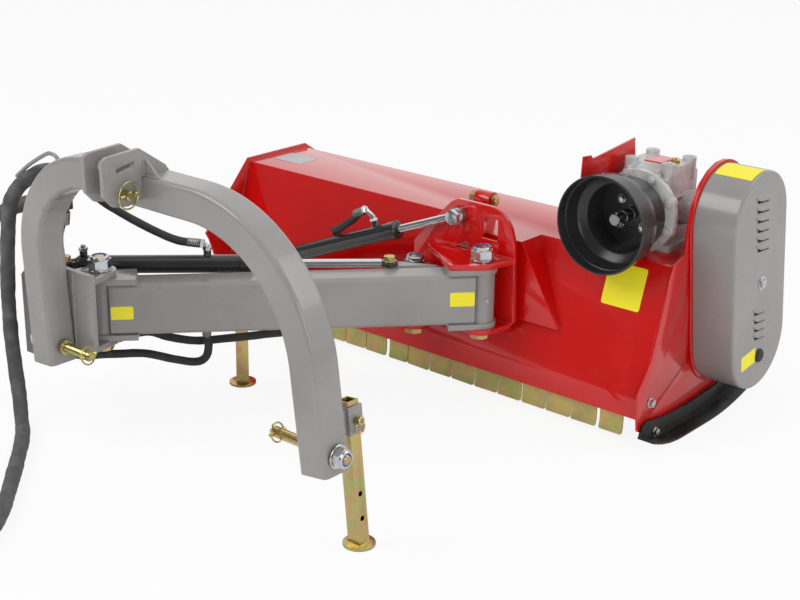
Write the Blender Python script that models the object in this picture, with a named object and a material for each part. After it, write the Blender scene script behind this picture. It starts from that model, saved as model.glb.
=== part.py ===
# Side verge mulcher for a compact tractor: headstock, parallelogram arms, tilt bracket and flail head.
# Metres, +Z up. X runs across the machine, the tractor stands on the -Y side and the verge lies on -X.
import math

import bmesh
import bpy
from mathutils import Matrix, Vector

for old in list(bpy.data.objects):
    bpy.data.objects.remove(old, do_unlink=True)

# Clearances
GAP = 0.0003            # between pieces that touch
RUN = 0.0004            # radial clearance of a running fit
ROUND = 20              # sides of an ordinary round piece

# Headstock arch, square tube bent in the XZ plane
ARCH_TUBE = 0.070
ARCH_WALL = 0.006
ARCH_TOP_Z = 0.652
LEG_BOTTOM_Z = 0.190
LEFT_FOOT_X = -0.408
RIGHT_FOOT_X = 0.409
LEFT_CORNER_X = -0.437
RIGHT_CORNER_X = 0.345
LEFT_BEND = 0.200
RIGHT_BEND = 0.300
BEND_STEPS = 12

# Three-point linkage, category 1
LOWER_PIN_Z = 0.231
MAST_HEIGHT = 0.427
LOWER_PIN_R = 0.011
LOWER_PIN_REACH = 0.095
TOP_PIN_Y = -0.080
TOP_PIN_R = 0.0095
CHEEK_MID_X = -0.073
CHEEK_X = 0.027
CHEEK_T = 0.010
CHEEK_SLOT = (0.046, 0.012)
CHEEK_AHEAD = 0.051     # from the top pin to the plates' foremost edge

# Parallelogram arms
ARM_LENGTH = 0.8643
ARM_ANGLE = math.radians(47.4)
FRONT_PIVOT = (-0.405, 0.135)
ARM_SPACING = 0.198
PIVOT_BOLT_R = 0.0135
BOSS_R = 0.032
COLLAR_R = 0.037
COLLAR_T = 0.012
COLLAR_RUN = 0.080
LUG_T = 0.013
LUG_R = 0.042
FRONT_ARM_Z = (0.221, 0.342)
FRONT_ARM_W = 0.075
REAR_ARM_Z = (0.183, 0.275)
REAR_ARM_W = 0.050
ARM_WALL = 0.005
ARM_EDGE = 0.008
NUT_AF = 0.041
NUT_H = 0.028
WASHER_R = 0.025
WASHER_T = 0.004
HEAD_H = 0.018
SPINE_T = 0.012
SPINE_X = (-0.562, -0.312)
SPINE_TOP_Z = 0.396

# Offset cylinder, between the headstock and the front arm
SWING_BASE = (-0.532, 0.136)
SWING_EYE = (0.007, 0.648)
SWING_Z = 0.350
SWING_BARREL = 0.430
CYL_R = 0.0210
ROD_R = 0.0100
EYE_T = 0.016
ROD_EYE_T = 0.0088
EYE_R = 0.020
EYE_BOLT_R = 0.0080
EYE_NECK = 0.031        # from a base eye's pin to the barrel

# Tilt bracket. The bracket and the flail head are drawn about the near arm's outer pivot, HEAD_PIVOT,
# and hang on it wherever the arms put it.
HEAD_PIVOT = (0.18002, 0.77121)
PLATE_Y = 0.820
PLATE_T = 0.010
TILT_PIVOT = (0.090, 0.360)
TILT_SHAFT_R = 0.020
SHAFT_END_Y = 0.935
TILT_BOSS_R = 0.032
TILT_EYE = (0.078, 0.444)
TILT_BASE = (-0.540, 0.195)
TILT_Y = 0.8096
TILT_BARREL = 0.470
TILT_EYE_T = 0.0200

# Flail head
HOOD_X = (-0.737, 0.585)
SHEET = 0.005
SIDE_T = 0.006
HOOD_TOP_Z = 0.404
HOOD_TOP_Y = (0.926, 1.140)
FOLD_HIGH = (0.861, 0.205)
FOLD_LOW = (0.8315, 0.122)
SKIRT_Z = 0.066
HOOD_REAR = (1.310, 0.200)
HOUSING_X = (-0.020, 0.235)
HOUSING_SPREAD = 0.110
HOUSING_Y = 0.848
ROTOR_YZ = (1.145, 0.200)
ROTOR_R = 0.045
FLAIL_R = 0.135
FLAILS = 16
ROTOR_SHAFT_R = 0.0175
BEARING_R = 0.045

# Gearbox and drive
BOX_X = (0.388, 0.508)
BOX_Y = (1.012, 1.142)
BOX_Z = (HOOD_TOP_Z + GAP, 0.592)
BOX_WALL = 0.012
BOX_FLANGE_R = 0.096
DRIVE_Z = 0.490
DRIVE_Y = 1.100
INPUT_R = 0.0150
INPUT_END_Y = 0.895
OUTPUT_R = 0.0150
GEAR_RATIO = 3.0
SHIELD_Y = (0.836, 0.974)
SHIELD_STEP_Y = 0.900
SHIELD_R = (0.112, 0.0835)
SHIELD_WALL = 0.004
GUARD_X = 0.700
GUARD_R = 0.118
GUARD_SHEET = 0.003
RIM_R = 0.125
PLUG_YZ = (1.151, 0.160)
PLUG_OUT = 0.0073
PULLEY_X = (0.625, 0.665)
UPPER_PULLEY_R = 0.088
LOWER_PULLEY_R = 0.064
BELT_T = 0.010

# Ground pieces
SKID_W = 0.042
SKID_Y = (0.822, 1.330)
SKID_T = 0.006
ROLLER_YZ = (1.285, 0.072)
ROLLER_R = 0.050
ROLLER_PIN_R = 0.010
FLAP_COUNT = 18
FLAP_T = 0.003
FLAP_YZ = (0.8435, 0.092)
FLAP_BOTTOM_Z = 0.014
LEG_TUBE = 0.030
SLEEVE_T = 0.004
FOOT_R = 0.033
FOOT_T = 0.006
NEAR_STAND = (0.415, 0.090)
STAND_LEAN = math.radians(6.3)
FAR_STAND_ALONG = 0.449
NEAR_PIN_Z = 0.264
FAR_PIN_Z = 0.238
FAR_TOP_Z = 0.300
NEAR_TOP_Z = 0.302
LEG_WALL = 0.003
SLEEVE_Z = (0.236, 0.292)
FOOT_HOLES_Z = (0.058, 0.110)
PIN_HOLE = 0.0056

# Hoses in their sleeves
BUNDLE_R = 0.018
HOSE_R = 0.010


def vec(*values):
    return Vector(values)


# Materials, one function, so that each piece states its own colour
def paint(name, colour, roughness=0.35, metallic=0.0):
    found = bpy.data.materials.get(name)
    if found:
        return found
    made = bpy.data.materials.new(name)
    made.use_nodes = True
    shader = made.node_tree.nodes["Principled BSDF"]
    shader.inputs["Base Color"].default_value = (*colour, 1.0)
    shader.inputs["Roughness"].default_value = roughness
    shader.inputs["Metallic"].default_value = metallic
    return made


RED = paint("red_gloss_paint", (0.62, 0.010, 0.008), 0.22)
GREY = paint("grey_paint", (0.33, 0.32, 0.31), 0.38)
BLACK = paint("black_paint", (0.012, 0.012, 0.013), 0.30)
RUBBER = paint("black_rubber", (0.016, 0.016, 0.017), 0.75)
ZINC = paint("bright_zinc", (0.62, 0.63, 0.65), 0.28, 1.0)
GOLD = paint("yellow_zinc", (0.62, 0.47, 0.18), 0.32, 1.0)
CHROME = paint("chrome", (0.80, 0.80, 0.82), 0.08, 1.0)
STEEL = paint("bare_steel", (0.40, 0.40, 0.41), 0.38, 1.0)
CAST = paint("grey_casting", (0.42, 0.42, 0.42), 0.45, 0.2)
BRASS = paint("brass", (0.60, 0.42, 0.16), 0.30, 1.0)


# The empties that the moving pieces hang on, each on its joint's axis
def pivot(name, place, parent=None):
    empty = bpy.data.objects.new(name, None)
    empty.empty_display_size = 0.05
    bpy.context.scene.collection.objects.link(empty)
    empty["place"] = place[:]
    if parent:
        empty.parent = parent
        place = vec(*place) - vec(*parent["place"])
    empty.location = place
    return empty


def piece(name, shape, material, hinge, smooth=35.0):
    """Turns a bmesh in machine coordinates into a named object that hangs on its pivot."""
    place = vec(*hinge["place"])
    bmesh.ops.translate(shape, vec=-place, verts=shape.verts)
    bmesh.ops.recalc_face_normals(shape, faces=shape.faces)
    mesh = bpy.data.meshes.new(name)
    shape.to_mesh(mesh)
    shape.free()
    mesh.materials.append(material)
    mesh.shade_smooth()
    mesh.set_sharp_from_angle(angle=math.radians(smooth))
    made = bpy.data.objects.new(name, mesh)
    bpy.context.scene.collection.objects.link(made)
    made.parent = hinge
    return made


# Solid shapes, all in machine coordinates
def block(low, high):
    shape = bmesh.new()
    bmesh.ops.create_cube(shape, size=1.0)
    size = vec(*high) - vec(*low)
    middle = (vec(*high) + vec(*low)) / 2
    bmesh.ops.scale(shape, vec=size, verts=shape.verts)
    bmesh.ops.translate(shape, vec=middle, verts=shape.verts)
    return shape


def extruded(points, along):
    """A flat outline of 3-D points, extruded by a vector."""
    shape = bmesh.new()
    near = [shape.verts.new(p) for p in points]
    far = [shape.verts.new(vec(*p) + along) for p in points]
    shape.faces.new(near)
    shape.faces.new(reversed(far))
    count = len(points)
    for i in range(count):
        j = (i + 1) % count
        shape.faces.new((near[j], near[i], far[i], far[j]))
    bmesh.ops.recalc_face_normals(shape, faces=shape.faces)
    return shape


def plate_x(outline, start, thick):
    return extruded([vec(start, y, z) for y, z in outline], vec(thick, 0, 0))


def plate_y(outline, start, thick):
    return extruded([vec(x, start, z) for x, z in outline], vec(0, thick, 0))


def plate_z(outline, start, thick):
    return extruded([vec(x, y, start) for x, y in outline], vec(0, 0, thick))


def frame_of(direction):
    """Two unit vectors square to a direction."""
    ahead = direction.normalized()
    guide = vec(0, 0, 1) if abs(ahead.z) < 0.9 else vec(1, 0, 0)
    side = ahead.cross(guide).normalized()
    return side, ahead.cross(side)


def turned(profile, base, direction, sides=ROUND):
    """Revolves (along, radius) points about an axis. Points on the axis close the ends, a ring has none."""
    ahead = vec(*direction).normalized()
    side, up = frame_of(ahead)
    shape = bmesh.new()
    rings = []
    for along, radius in profile:
        centre = vec(*base) + ahead * along
        if radius < 1e-7:
            rings.append([shape.verts.new(centre)])
            continue
        ring = []
        for i in range(sides):
            turn = 2 * math.pi * i / sides
            out = side * math.cos(turn) + up * math.sin(turn)
            ring.append(shape.verts.new(centre + out * radius))
        rings.append(ring)
    solid = len(rings[0]) == 1
    pairs = zip(rings, rings[1:]) if solid else zip(rings, rings[1:] + rings[:1])
    for first, second in pairs:
        for i in range(sides):
            j = (i + 1) % sides
            a = [first[0]] if len(first) == 1 else [first[i], first[j]]
            b = [second[0]] if len(second) == 1 else [second[j], second[i]]
            if len(a) + len(b) > 2:
                shape.faces.new(a + b)
    bmesh.ops.recalc_face_normals(shape, faces=shape.faces)
    return shape


def bar(start, end, radius, sides=ROUND):
    length = (vec(*end) - vec(*start)).length
    profile = [(0, 0), (0, radius), (length, radius), (length, 0)]
    return turned(profile, start, vec(*end) - vec(*start), sides)


def pipe(start, end, outer, inner, sides=ROUND):
    length = (vec(*end) - vec(*start)).length
    profile = [(0, inner), (0, outer), (length, outer), (length, inner)]
    return turned(profile, start, vec(*end) - vec(*start), sides)


def hexagon(start, end, across_flats):
    return bar(start, end, across_flats / math.sqrt(3), 6)


def combined(shape, tool, operation):
    """One Boolean step on two bmeshes, both freed, the result returned."""
    objects = []
    for source in (shape, tool):
        mesh = bpy.data.meshes.new("step")
        source.to_mesh(mesh)
        source.free()
        made = bpy.data.objects.new("step", mesh)
        bpy.context.scene.collection.objects.link(made)
        objects.append(made)
    change = objects[0].modifiers.new("step", "BOOLEAN")
    change.operation = operation
    change.object = objects[1]
    change.solver = "EXACT"
    graph = bpy.context.evaluated_depsgraph_get()
    result = bmesh.new()
    result.from_mesh(objects[0].evaluated_get(graph).to_mesh())
    for made in objects:
        mesh = made.data
        bpy.data.objects.remove(made, do_unlink=True)
        bpy.data.meshes.remove(mesh)
    bmesh.ops.remove_doubles(result, verts=result.verts, dist=1e-6)
    return result


def joined(shape, *others):
    for other in others:
        shape = combined(shape, other, "UNION")
    return shape


def cut(shape, *tools):
    for tool in tools:
        shape = combined(shape, tool, "DIFFERENCE")
    return shape


def arc(centre, radius, start, end, steps):
    """Points of a circle's arc between two angles in degrees, both ends included."""
    points = []
    for i in range(steps + 1):
        turn = math.radians(start + (end - start) * i / steps)
        points.append((centre[0] + radius * math.cos(turn), centre[1] + radius * math.sin(turn)))
    return points


def filleted(corners, radii, steps):
    """A path through corners whose inner ones are rounded, as 2-D points."""
    path = [Vector(corners[0])]
    for before, corner, after, radius in zip(corners, corners[1:], corners[2:], radii):
        corner = Vector(corner)
        back = (Vector(before) - corner).normalized()
        ahead = (Vector(after) - corner).normalized()
        half = back.angle(ahead) / 2
        centre = corner + (back + ahead).normalized() * (radius / math.sin(half))
        first = corner + back * (radius / math.tan(half))
        last = corner + ahead * (radius / math.tan(half))
        start, sweep = (first - centre), (first - centre).angle_signed(last - centre)
        for i in range(steps + 1):
            turn = -sweep * i / steps
            spun = (start.x * math.cos(turn) - start.y * math.sin(turn),
                    start.x * math.sin(turn) + start.y * math.cos(turn))
            path.append(centre + Vector(spun))
    path.append(Vector(corners[-1]))
    return path


def swept_square(path, half, depth, corner):
    """A tube section of one width carried along an XZ path, its edges chamfered."""
    section = []
    for sx, sy in ((1, 1), (-1, 1), (-1, -1), (1, -1)):
        wide = [(sx * half, sy * (depth - corner)), (sx * (half - corner), sy * depth)]
        section += wide if sx * sy > 0 else wide[::-1]
    shape = bmesh.new()
    rings = []
    for i, point in enumerate(path):
        before = path[max(i - 1, 0)]
        after = path[min(i + 1, len(path) - 1)]
        run = (after - before).normalized()
        out = Vector((-run.y, run.x))
        ring = []
        for across, deep in section:
            spot = point + out * across
            ring.append(shape.verts.new((spot.x, deep, spot.y)))
        rings.append(ring)
    count = len(section)
    for first, second in zip(rings, rings[1:]):
        for i in range(count):
            j = (i + 1) % count
            shape.faces.new((first[i], first[j], second[j], second[i]))
    shape.faces.new(rings[0])
    shape.faces.new(reversed(rings[-1]))
    bmesh.ops.recalc_face_normals(shape, faces=shape.faces)
    return shape


def hull_outline(circles, steps=10):
    """The outline round two or more circles (x, y, radius), as a tight band would lie."""
    cloud = []
    for x, y, radius in circles:
        cloud += [(px, py) for px, py in arc((x, y), radius, 0, 360 - 360 / (4 * steps), 4 * steps - 1)]
    cloud = sorted(set((round(x, 7), round(y, 7)) for x, y in cloud))

    def half(points):
        chain = []
        for p in points:
            while len(chain) > 1 and ((chain[-1][0] - chain[-2][0]) * (p[1] - chain[-2][1])
                                      - (chain[-1][1] - chain[-2][1]) * (p[0] - chain[-2][0])) <= 1e-12:
                chain.pop()
            chain.append(p)
        return chain

    lower, upper = half(cloud), half(cloud[::-1])
    return lower[:-1] + upper[:-1]


def hose(name, route, radius, material, hinge, closeness=2.0, fineness=2):
    """A tube along a smooth curve through the route's points, as a poly spline with filled caps."""
    points = [vec(*p) for p in route]
    dense = []
    for i in range(len(points) - 1):
        p0, p1 = points[max(i - 1, 0)], points[i]
        p2, p3 = points[i + 1], points[min(i + 2, len(points) - 1)]
        for k in range(16):
            t = k / 16
            dense.append(0.5 * ((2 * p1) + (p2 - p0) * t + (2 * p0 - 5 * p1 + 4 * p2 - p3) * t * t
                                + (3 * p1 - p0 - 3 * p2 + p3) * t ** 3))
    dense.append(points[-1])
    step = closeness * 2 * radius
    length = sum((b - a).length for a, b in zip(dense, dense[1:]))
    count = max(4, round(length / step))
    kept, walked, target = [dense[0]], 0.0, length / count
    for a, b in zip(dense, dense[1:]):
        span = (b - a).length
        while walked + span >= target - 1e-9 and len(kept) < count:
            kept.append(a.lerp(b, (target - walked) / span))
            target += length / count
        walked += span
    kept.append(dense[-1])
    place = vec(*hinge["place"])
    curve = bpy.data.curves.new(name, "CURVE")
    curve.dimensions = "3D"
    curve.bevel_depth = radius
    curve.bevel_resolution = fineness
    curve.use_fill_caps = True
    spline = curve.splines.new("POLY")
    spline.points.add(len(kept) - 1)
    for spot, point in zip(spline.points, kept):
        spot.co = (*(point - place), 1.0)
    curve.materials.append(material)
    made = bpy.data.objects.new(name, curve)
    bpy.context.scene.collection.objects.link(made)
    made.parent = hinge
    print(f"{name} is {length:.3f} m long")
    return made


# Where the joints are
ARM_DIR = vec(math.cos(ARM_ANGLE), math.sin(ARM_ANGLE), 0)
ARM_REARWARD = vec(-ARM_DIR.y, ARM_DIR.x, 0)
A1 = vec(*FRONT_PIVOT, 0)
A2 = A1 - vec(ARM_SPACING, 0, 0)
B1 = A1 + ARM_DIR * ARM_LENGTH
H1 = vec(*HEAD_PIVOT, 0)
H2 = H1 - vec(ARM_SPACING, 0, 0)
HEAD_SHIFT = B1 - H1
TOP_PIN_Z = LOWER_PIN_Z + MAST_HEIGHT
PLATE_BACK_Y = PLATE_Y + PLATE_T
SWING_DIR = (vec(*SWING_EYE, 0) - vec(*SWING_BASE, 0)).normalized()
TILT_RUN = vec(TILT_EYE[0] - TILT_BASE[0], 0, TILT_EYE[1] - TILT_BASE[1])
TILT_DIR = TILT_RUN.normalized()
SIDE_X = HOOD_X[1] + GAP
RIM_X = SIDE_X + SIDE_T + GAP
GUARD_BACK_X = RIM_X + SHEET + GAP
LEFT_SIDE_X = HOOD_X[0] - GAP - SIDE_T
FAR_STAND_ACROSS = REAR_ARM_W / 2 + GAP + LEG_TUBE / 2 + SLEEVE_T + GAP
STAND_FAR = A2 + ARM_DIR * FAR_STAND_ALONG + ARM_REARWARD * FAR_STAND_ACROSS
BOX_MID_X = (BOX_X[0] + BOX_X[1]) / 2

# The whole machine stands with the middle of its footprint, hoses left out, over the origin
MACHINE_X = (LEFT_SIDE_X - GAP - SKID_W + HEAD_SHIFT.x, GUARD_X + PLUG_OUT + HEAD_SHIFT.x)
MACHINE_Y = (TOP_PIN_Y - CHEEK_AHEAD, ROLLER_YZ[0] + ROLLER_R + HEAD_SHIFT.y)
machine = pivot("side_verge_mulcher", (0, 0, 0))
machine.location = (-sum(MACHINE_X) / 2, -sum(MACHINE_Y) / 2, 0)
headstock = pivot("headstock", (0, 0, 0), machine)
near_pin_slide = pivot("near_pin_slide", (*NEAR_STAND, NEAR_PIN_Z), headstock)
front_arm_hinge = pivot("front_arm_hinge", A1[:], headstock)
rear_arm_hinge = pivot("rear_arm_hinge", A2[:], headstock)
far_pin_slide = pivot("far_pin_slide", (STAND_FAR.x, STAND_FAR.y, FAR_PIN_Z), rear_arm_hinge)
swing_barrel_hinge = pivot("swing_barrel_hinge", (*SWING_BASE, SWING_Z), headstock)
swing_rod_slide = pivot("swing_rod_slide", (*SWING_EYE, SWING_Z), swing_barrel_hinge)
bracket_hinge = pivot("bracket_hinge", B1[:], front_arm_hinge)
bracket_hinge["place"] = H1[:]
deck_hinge = pivot("deck_hinge", (TILT_PIVOT[0], PLATE_BACK_Y, TILT_PIVOT[1]), bracket_hinge)
tilt_barrel_hinge = pivot("tilt_barrel_hinge", (TILT_BASE[0], TILT_Y, TILT_BASE[1]), deck_hinge)
tilt_rod_slide = pivot("tilt_rod_slide", (TILT_EYE[0], TILT_Y, TILT_EYE[1]), tilt_barrel_hinge)
rotor_spin = pivot("rotor_spin", (0, *ROTOR_YZ), deck_hinge)
output_spin = pivot("output_spin", (BOX_MID_X, DRIVE_Y, DRIVE_Z), deck_hinge)
input_spin = pivot("input_spin", (BOX_MID_X, DRIVE_Y, DRIVE_Z), deck_hinge)
roller_spin = pivot("roller_spin", (0, *ROLLER_YZ), deck_hinge)
left_flap_hinge = pivot("left_flap_hinge", (0, *FLAP_YZ), deck_hinge)
right_flap_hinge = pivot("right_flap_hinge", (0, *FLAP_YZ), deck_hinge)


# Headstock
def arch_path():
    corners = [(LEFT_FOOT_X, LEG_BOTTOM_Z), (LEFT_CORNER_X, ARCH_TOP_Z),
               (RIGHT_CORNER_X, ARCH_TOP_Z), (RIGHT_FOOT_X, LEG_BOTTOM_Z)]
    return filleted(corners, (LEFT_BEND, RIGHT_BEND), BEND_STEPS)


def leg_centre(side, z):
    """X of a leg's centre line at a height, below the bends."""
    foot, corner = (LEFT_FOOT_X, LEFT_CORNER_X) if side < 0 else (RIGHT_FOOT_X, RIGHT_CORNER_X)
    return foot + (corner - foot) * (z - LEG_BOTTOM_Z) / (ARCH_TOP_Z - LEG_BOTTOM_Z)


def build_arch():
    path = arch_path()
    half = ARCH_TUBE / 2
    shell = swept_square(path, half, half, 0.006)
    over = [path[0] + (path[0] - path[1]).normalized() * 0.02] + path
    over.append(path[-1] + (path[-1] - path[-2]).normalized() * 0.02)
    hollow = swept_square(over, half - ARCH_WALL, half - ARCH_WALL, 0.003)
    shape = cut(shell, hollow)
    for side in (-1, 1):
        x = leg_centre(side, LOWER_PIN_Z)
        shape = cut(shape, bar((x - ARCH_TUBE, 0, LOWER_PIN_Z), (x + ARCH_TUBE, 0, LOWER_PIN_Z),
                               LOWER_PIN_R + GAP))
    piece("arch_tube", shape, GREY, headstock)


def cheek_outline():
    front = -ARCH_TUBE / 2 - GAP
    top = ARCH_TOP_Z + ARCH_TUBE / 2 + GAP
    y, z = TOP_PIN_Y, TOP_PIN_Z
    return [(y - 0.050, z + 0.003), (y - CHEEK_AHEAD, z + 0.072), (y - 0.038, z + 0.079),
            (y + 0.042, z + 0.083),
            (0.026, top + 0.010), (0.032, top), (front, top), (front, z - 0.018), (y + 0.007, z - 0.026),
            (y - 0.028, z - 0.020)]


def build_cheeks():
    slot_y = TOP_PIN_Y + 0.005
    slot_z = TOP_PIN_Z + 0.051
    long, wide = CHEEK_SLOT
    top = ARCH_TOP_Z + ARCH_TUBE / 2 + GAP
    for name, side in (("top_link_plate_left", -1), ("top_link_plate_right", 1)):
        x = CHEEK_MID_X + side * CHEEK_X - CHEEK_T / 2
        shape = plate_x(cheek_outline(), x, CHEEK_T)
        face = x + (CHEEK_T - 0.001 if side > 0 else 0.001)
        web = [(face, top), (face + side * 0.041, top), (face, top + 0.034)]
        shape = joined(shape, plate_y(web, -0.028, 0.006))
        slot = hull_outline([(slot_y - long / 2 + wide / 2, slot_z - 0.003, wide / 2),
                             (slot_y + long / 2 - wide / 2, slot_z + 0.003, wide / 2)], 4)
        hole = bar((x - 0.01, TOP_PIN_Y, TOP_PIN_Z), (x + CHEEK_T + 0.01, TOP_PIN_Y, TOP_PIN_Z),
                   TOP_PIN_R + GAP)
        piece(name, cut(shape, plate_x(slot, x - 0.01, CHEEK_T + 0.02), hole), GREY, headstock)


def linch_ring(centre, along, radius=0.016, wire=0.0019):
    """A linch pin's spring ring, threaded by its pin across a shaft."""
    side, up = frame_of(vec(*along))
    shape = bmesh.new()
    rings = []
    turns, sides = 14, 5
    for i in range(turns):
        a = 2 * math.pi * i / turns
        out = side * math.cos(a) + up * math.sin(a)
        ring = []
        for k in range(sides):
            b = 2 * math.pi * k / sides
            spot = vec(*centre) + out * (radius + wire * math.cos(b))
            spot += vec(*along).normalized() * wire * math.sin(b)
            ring.append(shape.verts.new(spot))
        rings.append(ring)
    for first, second in zip(rings, rings[1:] + rings[:1]):
        for k in range(sides):
            m = (k + 1) % sides
            shape.faces.new((first[k], first[m], second[m], second[k]))
    bmesh.ops.recalc_face_normals(shape, faces=shape.faces)
    return shape


def build_top_pin():
    reach = CHEEK_X + CHEEK_T / 2
    at = lambda x: (CHEEK_MID_X + x, TOP_PIN_Y, TOP_PIN_Z)
    shape = bar(at(-reach - 0.010), at(reach + 0.020), TOP_PIN_R)
    head = bar(at(-reach - 0.012), at(-reach - GAP), TOP_PIN_R + 0.006)
    spot = at(reach + 0.012)
    linch = bar((spot[0], spot[1] - 0.022, spot[2]), (spot[0], spot[1] + 0.018, spot[2]), 0.0035, 10)
    ring = linch_ring(spot, (1, 0.12, 0), 0.019)
    piece("top_link_pin", joined(shape, head, linch, ring), GOLD, headstock)


def build_lower_pins():
    for name, side in (("lower_hitch_pin_left", -1), ("lower_hitch_pin_right", 1)):
        x = leg_centre(side, LOWER_PIN_Z)
        lean = 0.003
        inner = x - side * (ARCH_TUBE / 2 + lean)
        outer = x + side * (ARCH_TUBE / 2 + lean)
        tip = inner - side * LOWER_PIN_REACH
        at = lambda value: (value, 0, LOWER_PIN_Z)
        shape = bar(at(outer + side * 0.026), at(tip), LOWER_PIN_R)
        collar = bar(at(inner - side * GAP), at(inner - side * 0.012), LOWER_PIN_R + 0.006)
        washer = bar(at(outer + side * GAP), at(outer + side * 0.003), 0.020)
        nut = hexagon(at(outer + side * 0.002), at(outer + side * 0.021), 0.030)
        spot = tip + side * 0.013
        linch = bar((spot, -0.021, LOWER_PIN_Z), (spot, 0.019, LOWER_PIN_Z), 0.0035, 10)
        ring = linch_ring((spot, 0, LOWER_PIN_Z - 0.003), (1, 0.1, 0.25), 0.019)
        piece(name, joined(shape, collar, washer, nut, linch, ring), GOLD, headstock)


def lug_plate(centre, radius, reach_y, roots, z):
    """A lug in plan: a round end about a pivot, and a root at reach_y between two X values."""
    outline = hull_outline([(centre.x, centre.y, radius), (roots[0], reach_y, 0.002),
                            (roots[1], reach_y, 0.002)], 8)
    return plate_z(outline, z, LUG_T)


def lug_levels(arm_z):
    """Undersides of the upper and lower lugs that hold an arm's collars."""
    return arm_z[1] + COLLAR_T + RUN, arm_z[0] - COLLAR_T - RUN - LUG_T


def build_pivot_bracket():
    y = ARCH_TUBE / 2 + GAP
    root = y + SPINE_T - 0.002
    left, right = SPINE_X
    low_front, low_rear = lug_levels(FRONT_ARM_Z)[1], lug_levels(REAR_ARM_Z)[1]
    spine = [(right, SPINE_TOP_Z), (right, low_front + 0.040), (right - 0.035, low_front),
             (left + 0.085, low_front),
             (left + 0.065, low_rear), (left, low_rear), (left, 0.345), (left + 0.050, SPINE_TOP_Z)]
    shape = plate_y(spine, y, SPINE_T)
    front_roots, rear_roots = (A1.x - 0.050, A1.x + 0.050), (left + 0.003, left + 0.060)
    for place, arm_z, roots in ((A1, FRONT_ARM_Z, front_roots), (A2, REAR_ARM_Z, rear_roots)):
        for z in lug_levels(arm_z):
            shape = joined(shape, lug_plate(place, 0.036, root, roots, z))
    base = vec(*SWING_BASE, 0)
    shelf = hull_outline([(base.x, base.y, 0.025), (base.x - 0.020, root, 0.002),
                          (base.x + 0.020, root, 0.002)], 6)
    shape = joined(shape, plate_z(shelf, SWING_Z - EYE_T / 2 - GAP - 0.012, 0.012))
    rib_z = (lug_levels(REAR_ARM_Z)[1], lug_levels(FRONT_ARM_Z)[0] + LUG_T)
    rib = [(root, rib_z[0]), (root + 0.030, rib_z[0] + 0.010), (root + 0.030, rib_z[1] - 0.020),
           (root, rib_z[1])]
    shape = joined(shape, plate_x(rib, SWING_BASE[0] - 0.005, 0.010))
    for place, arm_z in ((A1, FRONT_ARM_Z), (A2, REAR_ARM_Z)):
        shape = cut(shape, bar((place.x, place.y, arm_z[0] - 0.06), (place.x, place.y, arm_z[1] + 0.06),
                               PIVOT_BOLT_R + GAP))
    shape = cut(shape, bar((base.x, base.y, SWING_Z - 0.03), (base.x, base.y, SWING_Z), EYE_BOLT_R + GAP))
    piece("pivot_bracket", shape, GREY, headstock)


def build_pivot_bolt(name, place, arm_z, hinge):
    """Bolt with its head below, washer and nylon-ringed nut on top."""
    top, low = lug_levels(arm_z)
    top += LUG_T
    at = lambda z: (place.x, place.y, z)
    shape = bar(at(low - HEAD_H + 0.002), at(top + WASHER_T + NUT_H - 0.006), PIVOT_BOLT_R)
    head = hexagon(at(low - GAP - HEAD_H), at(low - GAP), NUT_AF)
    washer = bar(at(top + GAP), at(top + WASHER_T + GAP), WASHER_R)
    nut = hexagon(at(top + WASHER_T - 0.001), at(top + WASHER_T + NUT_H - 0.008), NUT_AF)
    crown = turned([(0, 0), (0, NUT_AF / 2 - 0.001), (0.006, NUT_AF / 2 - 0.001),
                    (0.008, NUT_AF / 2 - 0.003),
                    (0.008, 0)], at(top + WASHER_T + NUT_H - 0.009), (0, 0, 1), 16)
    piece(name, joined(shape, head, washer, nut, crown), ZINC, hinge)


def build_hose_holder():
    y = ARCH_TUBE / 2 + GAP + 0.0045
    route = [(-0.384, y, 0.580), (-0.398, y, 0.628), (-0.409, y, 0.643), (-0.424, y, 0.647),
             (-0.445, y, 0.643),
             (-0.505, y, 0.610), (-0.556, y, 0.574)]
    hose("hose_holder", route, 0.0045, GREY, headstock, 2.0, 1)


def build_hose_clamp():
    y = ARCH_TUBE / 2 + GAP
    shape = block((-0.447, y, 0.524), (-0.398, y + 0.033, 0.576))
    piece("hose_clamp", shape, BLACK, headstock)


def post(centre, half, low, high, ahead):
    """A square upright whose sides lie along a direction in plan."""
    run = vec(*ahead) * half
    side = vec(-run.y, run.x, 0)
    corners = [centre + run + side, centre - run + side, centre - run - side, centre + run - side]
    return plate_z([(p.x, p.y) for p in corners], low, high - low)


def sleeve(centre, low, high, ahead):
    """A square sleeve that a parking leg slides in."""
    inner = LEG_TUBE / 2 + RUN
    return cut(post(centre, inner + SLEEVE_T, low, high, ahead),
               post(centre, inner, low - 0.01, high + 0.01, ahead))


def stand_leg(centre, top, ahead):
    half = LEG_TUBE / 2
    shape = post(centre, half, FOOT_T - 0.001, top, ahead)
    shape = cut(shape, post(centre, half - LEG_WALL, FOOT_T + 0.004, top + 0.01, ahead))
    shape = joined(shape, bar((centre.x, centre.y, 0), (centre.x, centre.y, FOOT_T), FOOT_R))
    for z in (0.055, 0.100):
        shape = cut(shape, cross_hole(centre, z, ahead))
    return shape


def cross_hole(centre, z, ahead):
    start = centre - vec(*ahead) * 0.05 + vec(0, 0, z)
    return bar(start[:], (start + vec(*ahead) * 0.10)[:], PIN_HOLE, 12)


def stand_pin(centre, z, ahead):
    """A drop pin through sleeve and leg, with the ring that it is pulled out by."""
    run = vec(*ahead)
    reach = LEG_TUBE / 2 + SLEEVE_T + 0.016
    start = vec(centre.x, centre.y, z) - run * reach
    end = vec(centre.x, centre.y, z) + run * reach
    shape = bar(start[:], end[:], 0.005, 12)
    head = bar((end - run * 0.012)[:], end[:], 0.0085, 16)
    ring = linch_ring((end - run * 0.006 - vec(0, 0, 0.014))[:], run[:], 0.012, 0.0018)
    return joined(shape, head, ring)


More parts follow.
